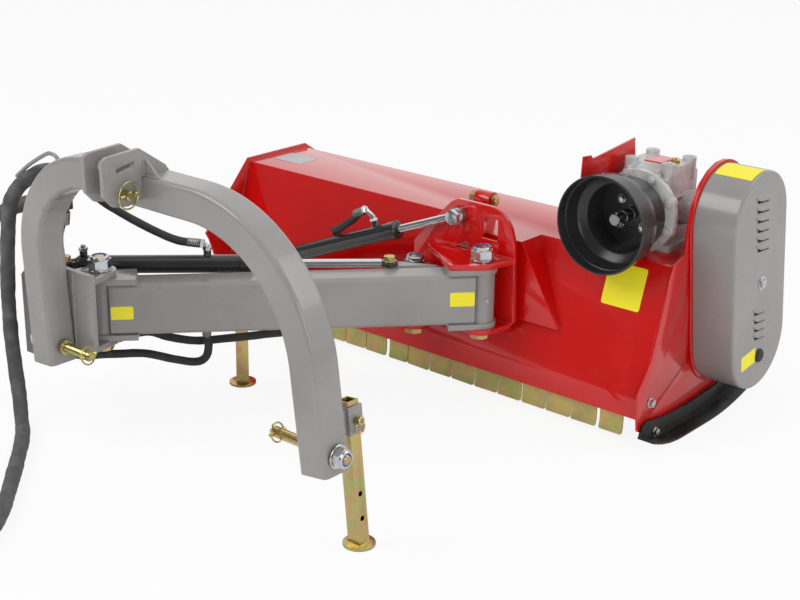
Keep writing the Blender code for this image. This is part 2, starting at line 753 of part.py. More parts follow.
def leaned(shape):
    """Turns a piece of the near stand about its foot, so that it lies along the arch's leg."""
    turn = Matrix.Rotation(-STAND_LEAN, 3, "Y")
    bmesh.ops.rotate(shape, cent=(*NEAR_STAND, 0), matrix=turn, verts=shape.verts)
    return shape


def build_stands():
    near = vec(*NEAR_STAND, 0)
    across = (1, 0, 0)
    outer = LEG_TUBE / 2 + RUN + SLEEVE_T
    strap = block((near.x - 0.018, ARCH_TUBE / 2 + GAP, 0.240),
                  (near.x + 0.012, near.y - outer + 0.002, 0.288))
    shape = cut(joined(sleeve(near, *SLEEVE_Z, across), strap), cross_hole(near, NEAR_PIN_Z, across))
    piece("near_stand_sleeve", leaned(shape), GREY, headstock)
    half = LEG_TUBE / 2
    hollow = post(near, half - LEG_WALL, 0.012, NEAR_TOP_Z + 0.04, across)
    leg = cut(post(near, half, -0.01, NEAR_TOP_Z, across), hollow)
    for z in (*FOOT_HOLES_Z, NEAR_PIN_Z):
        leg = cut(leg, cross_hole(near, z, across))
    leg = cut(leaned(leg), block((near.x - 0.1, near.y - 0.1, -0.05),
                                 (near.x + 0.1, near.y + 0.1, FOOT_T / 2)))
    leg = joined(leg, bar((near.x, near.y, 0), (near.x, near.y, FOOT_T), FOOT_R))
    piece("near_stand_leg", leg, GOLD, headstock)
    piece("near_stand_pin", leaned(stand_pin(near, NEAR_PIN_Z, across)), GOLD, near_pin_slide)
    leg = cut(stand_leg(STAND_FAR, FAR_TOP_Z, ARM_DIR), cross_hole(STAND_FAR, FAR_PIN_Z, ARM_DIR))
    piece("far_stand_leg", leg, GOLD, rear_arm_hinge)
    piece("far_stand_pin", stand_pin(STAND_FAR, FAR_PIN_Z, ARM_DIR), GOLD, far_pin_slide)


# Arms
def arm_frame(start):
    """Maps (along, across, z) of an arm to machine coordinates."""
    return lambda along, across, z: (start + ARM_DIR * along + ARM_REARWARD * across + vec(0, 0, z))


def arm_slab(start, outline, z, thick):
    at = arm_frame(start)
    return extruded([at(a, c, z) for a, c in outline], vec(0, 0, thick))


def arm_tube(start, half, low, high, edge, begin, end):
    """A box section with chamfered edges, run along an arm between two distances."""
    section = [(half, low + edge), (half, high - edge), (half - edge, high), (edge - half, high),
               (-half, high - edge), (-half, low + edge), (edge - half, low), (half - edge, low)]
    at = arm_frame(start)
    return extruded([at(begin, across, z) for across, z in section], ARM_DIR * (end - begin))


def build_arm(name, start, arm_z, width, hinge, extra, tools):
    at = arm_frame(start)
    half = width / 2
    low, high = arm_z
    clear = BOSS_R * 0.6
    shape = arm_tube(start, half, low, high, ARM_EDGE, clear, ARM_LENGTH - clear)
    inner = half - ARM_WALL
    open_run = (COLLAR_RUN * 0.55, ARM_LENGTH - COLLAR_RUN * 0.55)
    for end in (0, ARM_LENGTH):
        foot = at(end, 0, low - COLLAR_T)
        shape = joined(shape, bar(foot[:], at(end, 0, high + COLLAR_T)[:], BOSS_R))
        inward = 1 if end == 0 else -1
        tip = end + inward * COLLAR_RUN
        ring = [(x, y) for x, y in arc((end, 0), COLLAR_R, 90, 270, 10)] if end == 0 else \
               [(x, y) for x, y in arc((end, 0), COLLAR_R, -90, 90, 10)]
        flank = [(tip, -half - 0.001), (tip, half + 0.001)] if end == 0 else [(tip, half + 0.001),
                                                                              (tip, -half - 0.001)]
        for z in (low - COLLAR_T, high):
            grow = 0.001
            base = z if z < low else z - grow
            shape = joined(shape, arm_slab(start, ring + flank, base, COLLAR_T + grow))
    tunnel = arm_tube(start, inner, low + ARM_WALL, high - ARM_WALL, ARM_EDGE - 0.003, *open_run)
    drain = bar(at(ARM_LENGTH / 2, 0, low - 0.01)[:], at(ARM_LENGTH / 2, 0, low + 0.02)[:], 0.006, 12)
    for other in extra:
        shape = joined(shape, other)
    shape = cut(shape, joined(tunnel, drain))
    for end in (0, ARM_LENGTH):
        shape = cut(shape, bar(at(end, 0, low - 0.04)[:], at(end, 0, high + 0.04)[:], PIVOT_BOLT_R + RUN))
    for tool in tools:
        shape = cut(shape, tool)
    piece(name, shape, GREY, hinge)


def build_arms():
    eye = vec(*SWING_EYE, 0)
    along = (eye - A1).dot(ARM_DIR)
    across = (eye - A1).dot(ARM_REARWARD)
    side = FRONT_ARM_W / 2
    top = SWING_Z - ROD_EYE_T / 2 - GAP
    gusset = arm_slab(A1, [(along - 0.012, side - 0.003), (along + 0.110, side - 0.003),
                           (along + 0.030, across + 0.024),
                           (along - 0.012, across + 0.024)], top - 0.012, 0.012)
    bolt_hole = bar((eye.x, eye.y, top - 0.05), (eye.x, eye.y, top + 0.02), EYE_BOLT_R + GAP)
    build_arm("front_arm", A1, FRONT_ARM_Z, FRONT_ARM_W, front_arm_hinge, [gusset], [bolt_hole])
    low, high = 0.190, 0.290
    inner = LEG_TUBE / 2 + RUN
    body = post(STAND_FAR, inner + SLEEVE_T + GAP, low, high, ARM_DIR)
    bore = post(STAND_FAR, inner, low - 0.02, high + 0.02, ARM_DIR)
    build_arm("rear_arm", A2, REAR_ARM_Z, REAR_ARM_W, rear_arm_hinge, [body],
              [bore, cross_hole(STAND_FAR, FAR_PIN_Z, ARM_DIR)])


# Cylinders
def build_cylinder(prefix, base, direction, barrel, total, pin_axis, port_axis, second_port,
                   eye_thick, rod_eye, hinge, slide, hose_end):
    """Barrel with base eye, gland and ports; rod with its eye. Both on one line from base to eye.

    The second port carries an elbow that points at the hose's end."""
    ahead = direction
    pin = vec(*pin_axis)
    port = vec(*port_axis)
    at = lambda t: (base + ahead * t)
    eye = bar((base - pin * eye_thick / 2)[:], (base + pin * eye_thick / 2)[:], EYE_R)
    across = pin.cross(ahead) * EYE_R * 0.85
    neck = [base + across, base + ahead * (EYE_NECK + 0.004) + across,
            base + ahead * (EYE_NECK + 0.004) - across,
            base - across]
    flat = eye_thick / 2 - 0.0008
    neck = extruded([p - pin * flat for p in neck], pin * flat * 2)
    body = bar(at(EYE_NECK)[:], at(barrel)[:], CYL_R)
    gland = bar(at(barrel - 0.030)[:], at(barrel + 0.001)[:], CYL_R + 0.0015)
    shape = joined(eye, neck, body, gland)
    for t in (EYE_NECK + 0.012, barrel - second_port):
        shape = joined(shape, bar(at(t)[:], (at(t) + port * (CYL_R + 0.014))[:], 0.009, 12))
    top = at(barrel - second_port) + port * (CYL_R + 0.014)
    end, beyond = (vec(*p) for p in hose_end)
    away = (end - beyond).normalized()
    knee = end + away * 0.013
    shape = joined(shape, bar((top - port * 0.004)[:], (knee + (knee - top).normalized() * 0.003)[:],
                              0.0085, 12),
                   bar((knee + away * 0.002)[:], (end + away * 0.0015)[:], 0.0088, 12))
    bore_end = EYE_NECK + 0.040
    shape = cut(shape, bar(at(bore_end)[:], at(barrel + 0.01)[:], ROD_R + RUN, 16))
    shape = cut(shape, bar((base - pin * 0.05)[:], (base + pin * 0.05)[:], EYE_BOLT_R + RUN))
    piece(prefix + "_barrel", shape, BLACK, hinge)
    tip = at(total)
    rod = bar(at(bore_end + 0.180)[:], at(total - EYE_R * 0.9)[:], ROD_R, 16)
    knuckle = bar((tip - pin * rod_eye / 2)[:], (tip + pin * rod_eye / 2)[:], EYE_R)
    shape = cut(joined(rod, knuckle), bar((tip - pin * 0.05)[:], (tip + pin * 0.05)[:], EYE_BOLT_R + GAP))
    piece(prefix + "_rod", shape, CHROME, slide)


def build_swing_cylinder():
    base = vec(*SWING_BASE, SWING_Z)
    total = (vec(*SWING_EYE, SWING_Z) - base).length
    build_cylinder("swing_cylinder", base, SWING_DIR, SWING_BARREL, total, (0, 0, 1), (0, 0, 1), 0.105,
                   EYE_T, ROD_EYE_T,
                   swing_barrel_hinge, swing_rod_slide, (SWING_HOSE[-1], SWING_HOSE[-2]))
    for name, place, hinge, thick, drop in (("swing_base_bolt", base, headstock, EYE_T, 0.010),
                                            ("swing_rod_bolt", vec(*SWING_EYE, SWING_Z), swing_rod_slide,
                                             ROD_EYE_T, 0)):
        top = place.z + thick / 2 + GAP
        at = lambda z: (place.x, place.y, z)
        shape = bar(at(place.z - thick / 2 - drop), at(top + 0.010), EYE_BOLT_R)
        washer = bar(at(top), at(top + 0.003), 0.016)
        head = hexagon(at(top + 0.002), at(top + 0.013), 0.024)
        piece(name, joined(shape, washer, head), GOLD, hinge)


def build_tilt_cylinder():
    base = vec(TILT_BASE[0], TILT_Y, TILT_BASE[1])
    build_cylinder("tilt_cylinder", base, TILT_DIR, TILT_BARREL, TILT_RUN.length, (0, 1, 0),
                   TILT_DIR.cross(vec(0, 1, 0)), 0.070, TILT_EYE_T, TILT_EYE_T, tilt_barrel_hinge,
                   tilt_rod_slide,
                   (TILT_HOSE[0], TILT_HOSE[1]))
    front = TILT_Y - TILT_EYE_T / 2 - GAP
    for name, place, hinge, material in (("tilt_base_bolt", TILT_BASE, deck_hinge, GOLD),
                                         ("tilt_rod_nut", TILT_EYE, tilt_rod_slide, ZINC)):
        at = lambda y: (place[0], y, place[1])
        shape = bar(at(front - 0.012), at(TILT_Y + TILT_EYE_T / 2), EYE_BOLT_R)
        washer = bar(at(front - 0.003), at(front), 0.019)
        nut = hexagon(at(front - 0.018), at(front - 0.002), 0.030)
        piece(name, joined(shape, washer, nut), material, hinge)


# Tilt bracket
def bracket_outline():
    left = H2.x - 0.044
    right = H1.x + 0.056
    top = TILT_EYE[1] + 0.036
    return [(left, 0.157), (left, 0.352), (TILT_EYE[0] - 0.032, top - 0.012),
            (TILT_EYE[0] - 0.010, top)] + \
        arc((right - 0.075, top - 0.070), 0.070, 90, 10, 8) + \
        [(right, 0.404), (right + 0.006, 0.215), (right - 0.030, 0.180), (right - 0.09, 0.157)]


def build_tilt_bracket():
    shape = plate_y(bracket_outline(), PLATE_Y, PLATE_T)
    window = [(0.140, 0.400), (0.186, 0.400), (0.186, 0.452), (0.140, 0.452)]
    shape = cut(shape, plate_y(window, PLATE_Y - 0.01, PLATE_T + 0.02))
    root = PLATE_Y + 0.002
    high, low = lug_levels(FRONT_ARM_Z)
    wing = hull_outline([(H1.x, H1.y, LUG_R), (H1.x + 0.052, root, 0.002), (H1.x - 0.180, root, 0.002),
                         (H1.x - 0.164, H1.y + 0.014, 0.005), (H1.x - 0.030, H1.y - 0.070, 0.010)], 8)
    lug = lug_plate(H1, LUG_R, root, (H1.x - 0.050, H1.x + 0.050), low)
    shape = joined(shape, plate_z(wing, high, LUG_T), lug)
    for z in lug_levels(REAR_ARM_Z):
        shape = joined(shape, lug_plate(H2, 0.038, root, (H2.x - 0.040, H2.x + 0.040), z))
    for place, arm_z in ((H1, FRONT_ARM_Z), (H2, REAR_ARM_Z)):
        shape = cut(shape, bar((place.x, place.y, arm_z[0] - 0.05), (place.x, place.y, arm_z[1] + 0.05),
                               PIVOT_BOLT_R + GAP))
    x, z = TILT_PIVOT
    shape = cut(shape, bar((x, PLATE_Y - 0.01, z), (x, PLATE_BACK_Y + 0.01, z), TILT_SHAFT_R + GAP))
    piece("tilt_bracket", shape, RED, bracket_hinge)


def build_tilt_shaft():
    x, z = TILT_PIVOT
    at = lambda y: (x, y, z)
    shape = bar(at(PLATE_Y + 0.001), at(SHAFT_END_Y + 0.026), TILT_SHAFT_R)
    nut = hexagon(at(SHAFT_END_Y + GAP), at(SHAFT_END_Y + 0.020), 0.052)
    piece("tilt_shaft", joined(shape, nut), STEEL, bracket_hinge)


# Flail head
def hood_profile(inset):
    """Side view of the folded hood, outer skin at inset 0, inner skin a sheet further in."""
    t = inset
    top = HOOD_TOP_Z - t
    drop = 0.02 if t else 0.0
    return [(FOLD_LOW[0] + t, SKIRT_Z - drop), (FOLD_LOW[0] + t, FOLD_LOW[1] - 0.2 * t),
            (FOLD_HIGH[0] + t, FOLD_HIGH[1] - 0.3 * t), (HOOD_TOP_Y[0] + 0.7 * t, top),
            (HOOD_TOP_Y[1] - 0.4 * t, top),
            (HOOD_REAR[0] - 0.060 - 0.8 * t, 0.330 - 0.8 * t),
            (HOOD_REAR[0] - t, HOOD_REAR[1] + 0.02 - 0.3 * t),
            (HOOD_REAR[0] - t, HOOD_REAR[1] - drop), (HOOD_REAR[0] - 0.2, SKIRT_Z - drop)]


def housing_solid(inset):
    """The housing in front of the hood that the tilt shaft runs in: flat front, slanted cheeks."""
    t = inset
    left, right = HOUSING_X
    high = HOOD_TOP_Z - t
    low = FOLD_HIGH[1] + 0.010 + t
    front = HOUSING_Y + t
    back = HOOD_TOP_Y[0] + 0.030
    corners = [(left + t, high), (right - t, high), (right + HOUSING_SPREAD - t, low),
               (left - HOUSING_SPREAD + t, low)]
    return plate_y(corners, front, back - front)


def build_hood():
    left, right = HOOD_X
    shape = plate_x(hood_profile(0), left, right - left)
    shape = joined(shape, housing_solid(0))
    inner = plate_x(hood_profile(SHEET), left - 0.01, right - left + 0.02)
    shape = cut(shape, joined(inner, housing_solid(SHEET)))
    floor = block((left - 0.02, FOLD_LOW[0] + SHEET, SKIRT_Z - 0.05),
                  (right + 0.02, HOOD_REAR[0] + 0.05, SKIRT_Z + 0.001))
    shape = cut(shape, floor)
    x, z = TILT_PIVOT
    at = lambda y: (x, y, z)
    shape = joined(shape, bar(at(PLATE_BACK_Y + GAP), at(SHAFT_END_Y), TILT_BOSS_R))
    shape = cut(shape, bar(at(PLATE_Y), at(SHAFT_END_Y + 0.01), TILT_SHAFT_R + RUN))
    base_y = TILT_Y + TILT_EYE_T / 2 + GAP
    shape = joined(shape, bar((TILT_BASE[0], base_y, TILT_BASE[1]),
                              (TILT_BASE[0], FOLD_HIGH[0] + 0.010, TILT_BASE[1]), 0.026))
    stay = (0.030, 0.935, HOOD_TOP_Z + 0.050)
    web = block((stay[0] + 0.012, stay[1] - 0.018, HOOD_TOP_Z - 0.002),
                (stay[0] + 0.052, stay[1] + 0.018, stay[2]))
    tube = bar((stay[0] + 0.010, stay[1], stay[2]), (stay[0] + 0.054, stay[1], stay[2]), 0.020)
    shape = joined(shape, web, tube)
    shape = cut(shape, bar((stay[0] - 0.02, stay[1], stay[2]), (stay[0] + 0.08, stay[1], stay[2]),
                           0.0083))
    piece("hood", shape, RED, deck_hinge)
    pin = bar((stay[0] - 0.012, stay[1], stay[2]), (stay[0] + 0.066, stay[1], stay[2]), 0.0080)
    nut = hexagon((stay[0] - 0.008, stay[1], stay[2]), (stay[0] + 0.0097, stay[1], stay[2]), 0.026)
    head = hexagon((stay[0] + 0.0543, stay[1], stay[2]), (stay[0] + 0.064, stay[1], stay[2]), 0.026)
    piece("stay_pin", joined(pin, nut, head), GOLD, deck_hinge)


def side_outline(upper):
    """Side plate in side view; the right one carries on upward behind the belt guard."""
    lower = [(HOOD_REAR[0] + 0.004, 0.205), (1.245, 0.118), (1.210, 0.095), (1.172, 0.080),
             (1.172, 0.054), (0.842, 0.034), (0.820, 0.045), (0.808, 0.125)]
    if upper:
        front = [(FOLD_HIGH[0] - 0.003, FOLD_HIGH[1]),
                 (HOOD_TOP_Y[0] - 0.004, HOOD_TOP_Z + 0.004), (0.966, 0.422)]
        rear = [(ROTOR_YZ[0] + RIM_R, ROTOR_YZ[1] + 0.06), (HOOD_REAR[0] + 0.004, 0.230)]
        return lower + front + arc((DRIVE_Y, DRIVE_Z), RIM_R, 170, 0, 10) + rear
    front = [(0.800, 0.130), (0.770, 0.215), (0.758, 0.235),
             (HOOD_TOP_Y[0] - 0.004, HOOD_TOP_Z + 0.010)]
    rear = [(HOOD_TOP_Y[1] + 0.006, HOOD_TOP_Z + 0.010), (1.262, 0.338), (HOOD_REAR[0] + 0.006, 0.222)]
    return lower[:-1] + front + rear


def build_sides():
    y, z = ROTOR_YZ
    shaft_hole = lambda x: bar((x - 0.02, y, z), (x + 0.03, y, z), ROTOR_SHAFT_R + 0.004)
    shape = plate_x(side_outline(False), LEFT_SIDE_X, SIDE_T)
    piece("left_side_plate", cut(shape, shaft_hole(LEFT_SIDE_X)), RED, deck_hinge)
    shape = plate_x(side_outline(True), SIDE_X, SIDE_T)
    output_hole = bar((SIDE_X - 0.02, DRIVE_Y, DRIVE_Z), (SIDE_X + 0.03, DRIVE_Y, DRIVE_Z),
                      OUTPUT_R + 0.004)
    piece("right_side_plate", cut(shape, shaft_hole(SIDE_X), output_hole), RED, deck_hinge)


def guard_circles(radius):
    return [(DRIVE_Y, DRIVE_Z, radius), (ROTOR_YZ[0], ROTOR_YZ[1], radius)]


def build_guard():
    y, z = ROTOR_YZ
    rim = plate_x(hull_outline(guard_circles(RIM_R)), RIM_X, SHEET)
    for cy, cz in ((DRIVE_Y, DRIVE_Z), (y, z)):
        rim = cut(rim, bar((RIM_X - 0.01, cy, cz), (RIM_X + 0.02, cy, cz), ROTOR_SHAFT_R + 0.004))
    piece("guard_back_plate", rim, RED, deck_hinge)
    shape = plate_x(hull_outline(guard_circles(GUARD_R)), GUARD_BACK_X, GUARD_X - GUARD_BACK_X)
    hollow = plate_x(hull_outline(guard_circles(GUARD_R - GUARD_SHEET)), GUARD_BACK_X - 0.01,
                     GUARD_X - GUARD_SHEET - GUARD_BACK_X + 0.01)
    shape = cut(shape, hollow)
    plug_y, plug_z = PLUG_YZ
    shape = cut(shape, bar((GUARD_X - 0.02, plug_y, plug_z), (GUARD_X + 0.02, plug_y, plug_z), 0.0125))
    piece("belt_guard", shape, GREY, deck_hinge)
    plug = turned([(0, 0), (0, 0.012), (GUARD_SHEET + 0.001, 0.012), (GUARD_SHEET + 0.001, 0.016),
                   (GUARD_SHEET + 0.005, 0.016), (GUARD_SHEET + 0.008, 0.012), (GUARD_SHEET + 0.008, 0)],
                  (GUARD_X + PLUG_OUT - GUARD_SHEET - 0.008, plug_y, plug_z), (1, 0, 0))
    piece("guard_plug", plug, RUBBER, deck_hinge)


def build_gearbox():
    x0, x1 = BOX_X
    y0, y1 = BOX_Y
    z0, z1 = BOX_Z
    mid_y = (y0 + y1) / 2
    shape = plate_x([(y0, z0), (y1, z0), (y1, z1 - 0.025), (y1 - 0.025, z1), (y0 + 0.025, z1),
                     (y0, z1 - 0.025)],
                    x0, x1 - x0)
    feet = block((x0 - 0.020, y0 - 0.008, z0), (x1 + 0.020, y1 + 0.006, z0 + 0.014))
    nose = bar((BOX_MID_X, SHIELD_Y[1] + GAP, DRIVE_Z), (BOX_MID_X, y0 + 0.01, DRIVE_Z), 0.068, 28)
    neck = bar((x1 - 0.01, DRIVE_Y, DRIVE_Z), (SIDE_X - GAP, DRIVE_Y, DRIVE_Z), 0.040)
    cap = bar((x0 - 0.010, DRIVE_Y, DRIVE_Z), (x0 + 0.01, DRIVE_Y, DRIVE_Z), 0.050)
    shape = joined(shape, feet, nose, neck, cap)
    for x in (x0 + 0.012, x1 - 0.012):
        for y in (y0 + 0.020, y1 - 0.020):
            shape = joined(shape, bar((x, y, z1 - 0.040), (x, y, z1 + 0.009), 0.016, 16))
    flange = bar((BOX_MID_X, y0 - 0.020, DRIVE_Z), (BOX_MID_X, y0 - 0.006, DRIVE_Z), BOX_FLANGE_R, 32)
    cone = turned([(0, 0), (0, BOX_FLANGE_R - 0.010), (0.045, 0.062), (0.045, 0)],
                  (BOX_MID_X, y0 - 0.007, DRIVE_Z),
                  (0, 1, 0), 32)
    below = block((x0 - 0.1, y0 - 0.1, z0 - 0.1), (x1 + 0.1, y1 + 0.1, z0))
    beside = block((x0 - 0.1, y0 - 0.1, z0 - 0.1), (x0 - 0.018, y1 + 0.1, z1 + 0.1))
    shape = joined(shape, cut(joined(flange, cone), below, beside))
    room = block((x0 + BOX_WALL, y0 + BOX_WALL, z0 + 0.025), (x1 - BOX_WALL, y1 - BOX_WALL,
                                                              z1 - BOX_WALL - 0.004))
    shape = cut(shape, room)
    shape = cut(shape, bar((BOX_MID_X, y0 - 0.06, DRIVE_Z), (BOX_MID_X, y0 + 0.03, DRIVE_Z),
                           INPUT_R + RUN))
    shape = cut(shape, bar((x1 - 0.03, DRIVE_Y, DRIVE_Z), (SIDE_X + 0.02, DRIVE_Y, DRIVE_Z),
                           OUTPUT_R + RUN))
    plug = (x1 - 0.022, mid_y)
    shape = cut(shape, bar((*plug, z1 - 0.03), (*plug, z1 + 0.01), 0.0078, 16))
    piece("gearbox_housing", shape, CAST, deck_hinge)
    breather = turned([(0, 0), (0, 0.0075), (0.018, 0.0075), (0.018, 0.011), (0.026, 0.011),
                       (0.030, 0.008), (0.030, 0)],
                      (*plug, z1 - 0.0177), (0, 0, 1), 16)
    piece("breather_plug", breather, BRASS, deck_hinge)


def build_bevels():
    """Input and output shafts with their bevel gears, whose pitch cones meet at the gearbox's centre."""
    half = math.atan(GEAR_RATIO)
    inner, outer = 0.024, 0.040
    ring = lambda s, angle: (s * math.cos(angle), s * math.sin(angle))
    skin = 0.0006
    a0, r0 = ring(inner, half)
    a1, r1 = ring(outer, half)
    gear = turned([(a0 + skin, 0), (a0 + skin, r0), (a1 + skin, r1), (a1 + 0.008, r1),
                   (a1 + 0.012, INPUT_R + 0.006),
                   (a1 + 0.014, 0)], (BOX_MID_X, DRIVE_Y, DRIVE_Z), (0, -1, 0), 36)
    shaft = bar((BOX_MID_X, DRIVE_Y - a1 - 0.010, DRIVE_Z), (BOX_MID_X, INPUT_END_Y, DRIVE_Z), INPUT_R)
    piece("input_shaft", joined(shaft, gear), STEEL, input_spin)
    b0, s0 = ring(inner, math.pi / 2 - half)
    b1, s1 = ring(outer, math.pi / 2 - half)
    pinion = turned([(b0 + skin, 0), (b0 + skin, s0 - skin), (b1 + skin, s1 - skin),
                     (b1 + 0.004, OUTPUT_R),
                     (b1 + 0.006, OUTPUT_R), (b1 + 0.006, 0)], (BOX_MID_X, DRIVE_Y, DRIVE_Z), (1, 0, 0))
    shaft = bar((BOX_MID_X + b1 + 0.004, DRIVE_Y, DRIVE_Z), (PULLEY_X[1] + 0.008, DRIVE_Y, DRIVE_Z),
                OUTPUT_R)
    piece("output_shaft", joined(pinion, shaft), STEEL, output_spin)


def build_shield():
    near, far = SHIELD_Y
    big, small = SHIELD_R
    wall = SHIELD_WALL
    step = SHIELD_STEP_Y
    profile = [(0, big), (step - near, big - 0.006), (step - near + 0.010, small + 0.001),
               (far - near, small),
               (far - near, INPUT_R + 0.020), (far - near - wall, INPUT_R + 0.020),
               (far - near - wall, small - wall),
               (step - near + 0.008, small + 0.001 - wall), (step - near - 0.003, big - 0.006 - wall),
               (0, big - wall)]
    shape = turned(profile, (BOX_MID_X, near, DRIVE_Z), (0, 1, 0), 32)
    piece("shaft_shield", shape, RUBBER, deck_hinge)


def build_gearbox_plate():
    x = BOX_X[0] - 0.020
    base = HOOD_TOP_Z + GAP
    outline = [(1.125, base), (1.098, 0.600), (1.094, 0.628), (0.936, 0.612), (0.920, 0.612),
               (0.914, 0.620),
               (0.884, 0.622), (0.880, 0.575), (0.930, 0.520), (0.940, base)]
    shape = plate_x(outline, x - SHEET - GAP, SHEET)
    shape = cut(shape, bar((BOX_MID_X, 0.83, DRIVE_Z), (BOX_MID_X, SHIELD_Y[1] + 0.004, DRIVE_Z),
                           SHIELD_R[0] + 0.003))
    piece("gearbox_side_plate", shape, RED, deck_hinge)


def build_pulley(name, yz, radius, bore, hinge):
    y, z = yz
    x0, x1 = PULLEY_X
    groove = BELT_T * 0.8
    mid = (x0 + x1) / 2
    wide = 0.016
    profile = [(0, bore), (0, radius), (mid - wide - x0, radius),
               (mid - wide + 0.003 - x0, radius - groove),
               (mid + wide - 0.003 - x0, radius - groove), (mid + wide - x0, radius), (x1 - x0, radius),
               (x1 - x0, bore)]
    piece(name, turned(profile, (x0, y, z), (1, 0, 0), 36), CAST, hinge)


def build_belt():
    groove = BELT_T * 0.8
    inner = GAP + 0.0005 - groove
    rings = []
    for grow in (inner, inner + BELT_T):
        rings.append(hull_outline([(DRIVE_Y, DRIVE_Z, UPPER_PULLEY_R + grow),
                                   (*ROTOR_YZ, LOWER_PULLEY_R + grow)], 9))
    mid = (PULLEY_X[0] + PULLEY_X[1]) / 2
    half = 0.0122
    shape = plate_x(rings[1], mid - half, 2 * half)
    piece("drive_belt", cut(shape, plate_x(rings[0], mid - half - 0.01, 2 * half + 0.02)), RUBBER,
          deck_hinge)


def build_rotor():
    y, z = ROTOR_YZ
    left = HOOD_X[0] + 0.030
    right = HOOD_X[1] - 0.030
    shape = bar((left, y, z), (right, y, z), ROTOR_R, 20)
    shaft = bar((LEFT_SIDE_X - 0.010, y, z), (PULLEY_X[1] + 0.008, y, z), ROTOR_SHAFT_R, 20)
    shape = joined(shape, shaft)
    pitch = (right - left) / FLAILS
    for i in range(FLAILS):
        x = left + pitch * (i + 0.5)
        turn = math.radians(i * 135.0)
        out = vec(0, math.cos(turn), math.sin(turn))
        flat = vec(0, -math.sin(turn), math.cos(turn))
        blade = []
        for reach, half in ((ROTOR_R - 0.008, 0.016), (ROTOR_R + 0.030, 0.012), (FLAIL_R - 0.030, 0.014),
                            (FLAIL_R, 0.024)):
            blade.append((reach, half))
        ring = [out * r + flat * h for r, h in blade] + [out * r - flat * h for r, h in reversed(blade)]
        hub = vec(x - 0.010, y, z)
        shape = joined(shape, extruded([(hub + p)[:] for p in ring], vec(0.020, 0, 0)))
    piece("flail_rotor", shape, STEEL, rotor_spin)
    for name, inner_x, run in (("left_rotor_bearing", HOOD_X[0] + GAP, 1),
                               ("right_rotor_bearing", HOOD_X[1] - GAP, -1)):
        start = (inner_x, y, z)
        end = (inner_x + run * 0.022, y, z)
        piece(name, pipe(start, end, BEARING_R, ROTOR_SHAFT_R + RUN), CAST, deck_hinge)


# Skids: a curved sole with an upright web against each side plate
def skid_curve(steps=14):
    """Centre line of the sole's underside in side view, from the toe to the raised heel."""
    bottom = 1.010
    radius = 0.62
    points = []
    for i in range(steps + 1):
        y = SKID_Y[0] + (SKID_Y[1] - SKID_Y[0]) * i / steps
        away = abs(y - bottom)
        flat = 0.060
        rise = 0.0 if away < flat else (away - flat) ** 2 / (2 * (radius if y > bottom else 0.30))
        points.append((y, rise))
    return points


def build_skids():
    curve = skid_curve()
    for name, wall, side in (("left_skid", LEFT_SIDE_X - GAP, -1), ("right_skid", RIM_X - GAP + GAP, 1)):
        sole = curve + [(y, z + SKID_T) for y, z in reversed(curve)]
        start = wall if side > 0 else wall - SKID_W
        shape = plate_x(sole, start, SKID_W)
        web = [(y, z + 0.002) for y, z in curve] + [(1.300, 0.108), (1.230, 0.094), (1.160, 0.056),
                                                    (1.040, 0.048),
                                                   (0.930, 0.050), (0.850, 0.062), (0.832, 0.056)]
        web_x = wall if side > 0 else wall - SKID_T
        shape = joined(shape, plate_x(web, web_x, SKID_T))
        hole = bar((web_x - 0.01, *ROLLER_YZ), (web_x + SKID_T + 0.01, *ROLLER_YZ), ROLLER_PIN_R + RUN,
                   16)
        piece(name, cut(shape, hole), BLACK, deck_hinge)


def build_roller():
    y, z = ROLLER_YZ
    shape = bar((HOOD_X[0] + 0.020, y, z), (HOOD_X[1] - 0.020, y, z), ROLLER_R)
    axle = bar((LEFT_SIDE_X - GAP - SKID_T - 0.004, y, z), (RIM_X + SKID_T + 0.004, y, z), ROLLER_PIN_R,
               16)
    piece("rear_roller", joined(shape, axle), BLACK, roller_spin)


def build_flaps():
    y, z = FLAP_YZ
    left, right = HOOD_X[0] + 0.010, HOOD_X[1] - 0.045
    pitch = (right - left) / FLAP_COUNT
    per_row = FLAP_COUNT // 2
    for name, first, hinge in (("left_front_flaps", 0, left_flap_hinge),
                               ("right_front_flaps", per_row, right_flap_hinge)):
        start = left + pitch * first + (0.001 if first else 0)
        end = left + pitch * (first + per_row) - (0 if first else 0.001)
        outline = [(end, z + 0.004), (start, z + 0.004)]
        for i in range(per_row):
            x0 = left + pitch * (first + i)
            a = max(x0 + 0.001, start)
            b = min(x0 + pitch - 0.001, end)
            outline += [(a, z - 0.006), (a, FLAP_BOTTOM_Z), (b, FLAP_BOTTOM_Z), (b, z - 0.006)]
        shape = plate_y(outline, y - FLAP_T / 2, FLAP_T)
        rod = (start, SIDE_X - GAP) if first else (LEFT_SIDE_X + SIDE_T + GAP, end)
        shape = joined(shape, bar((rod[0], y, z), (rod[1], y, z), 0.006, 12))
        piece(name, shape, GOLD, hinge)


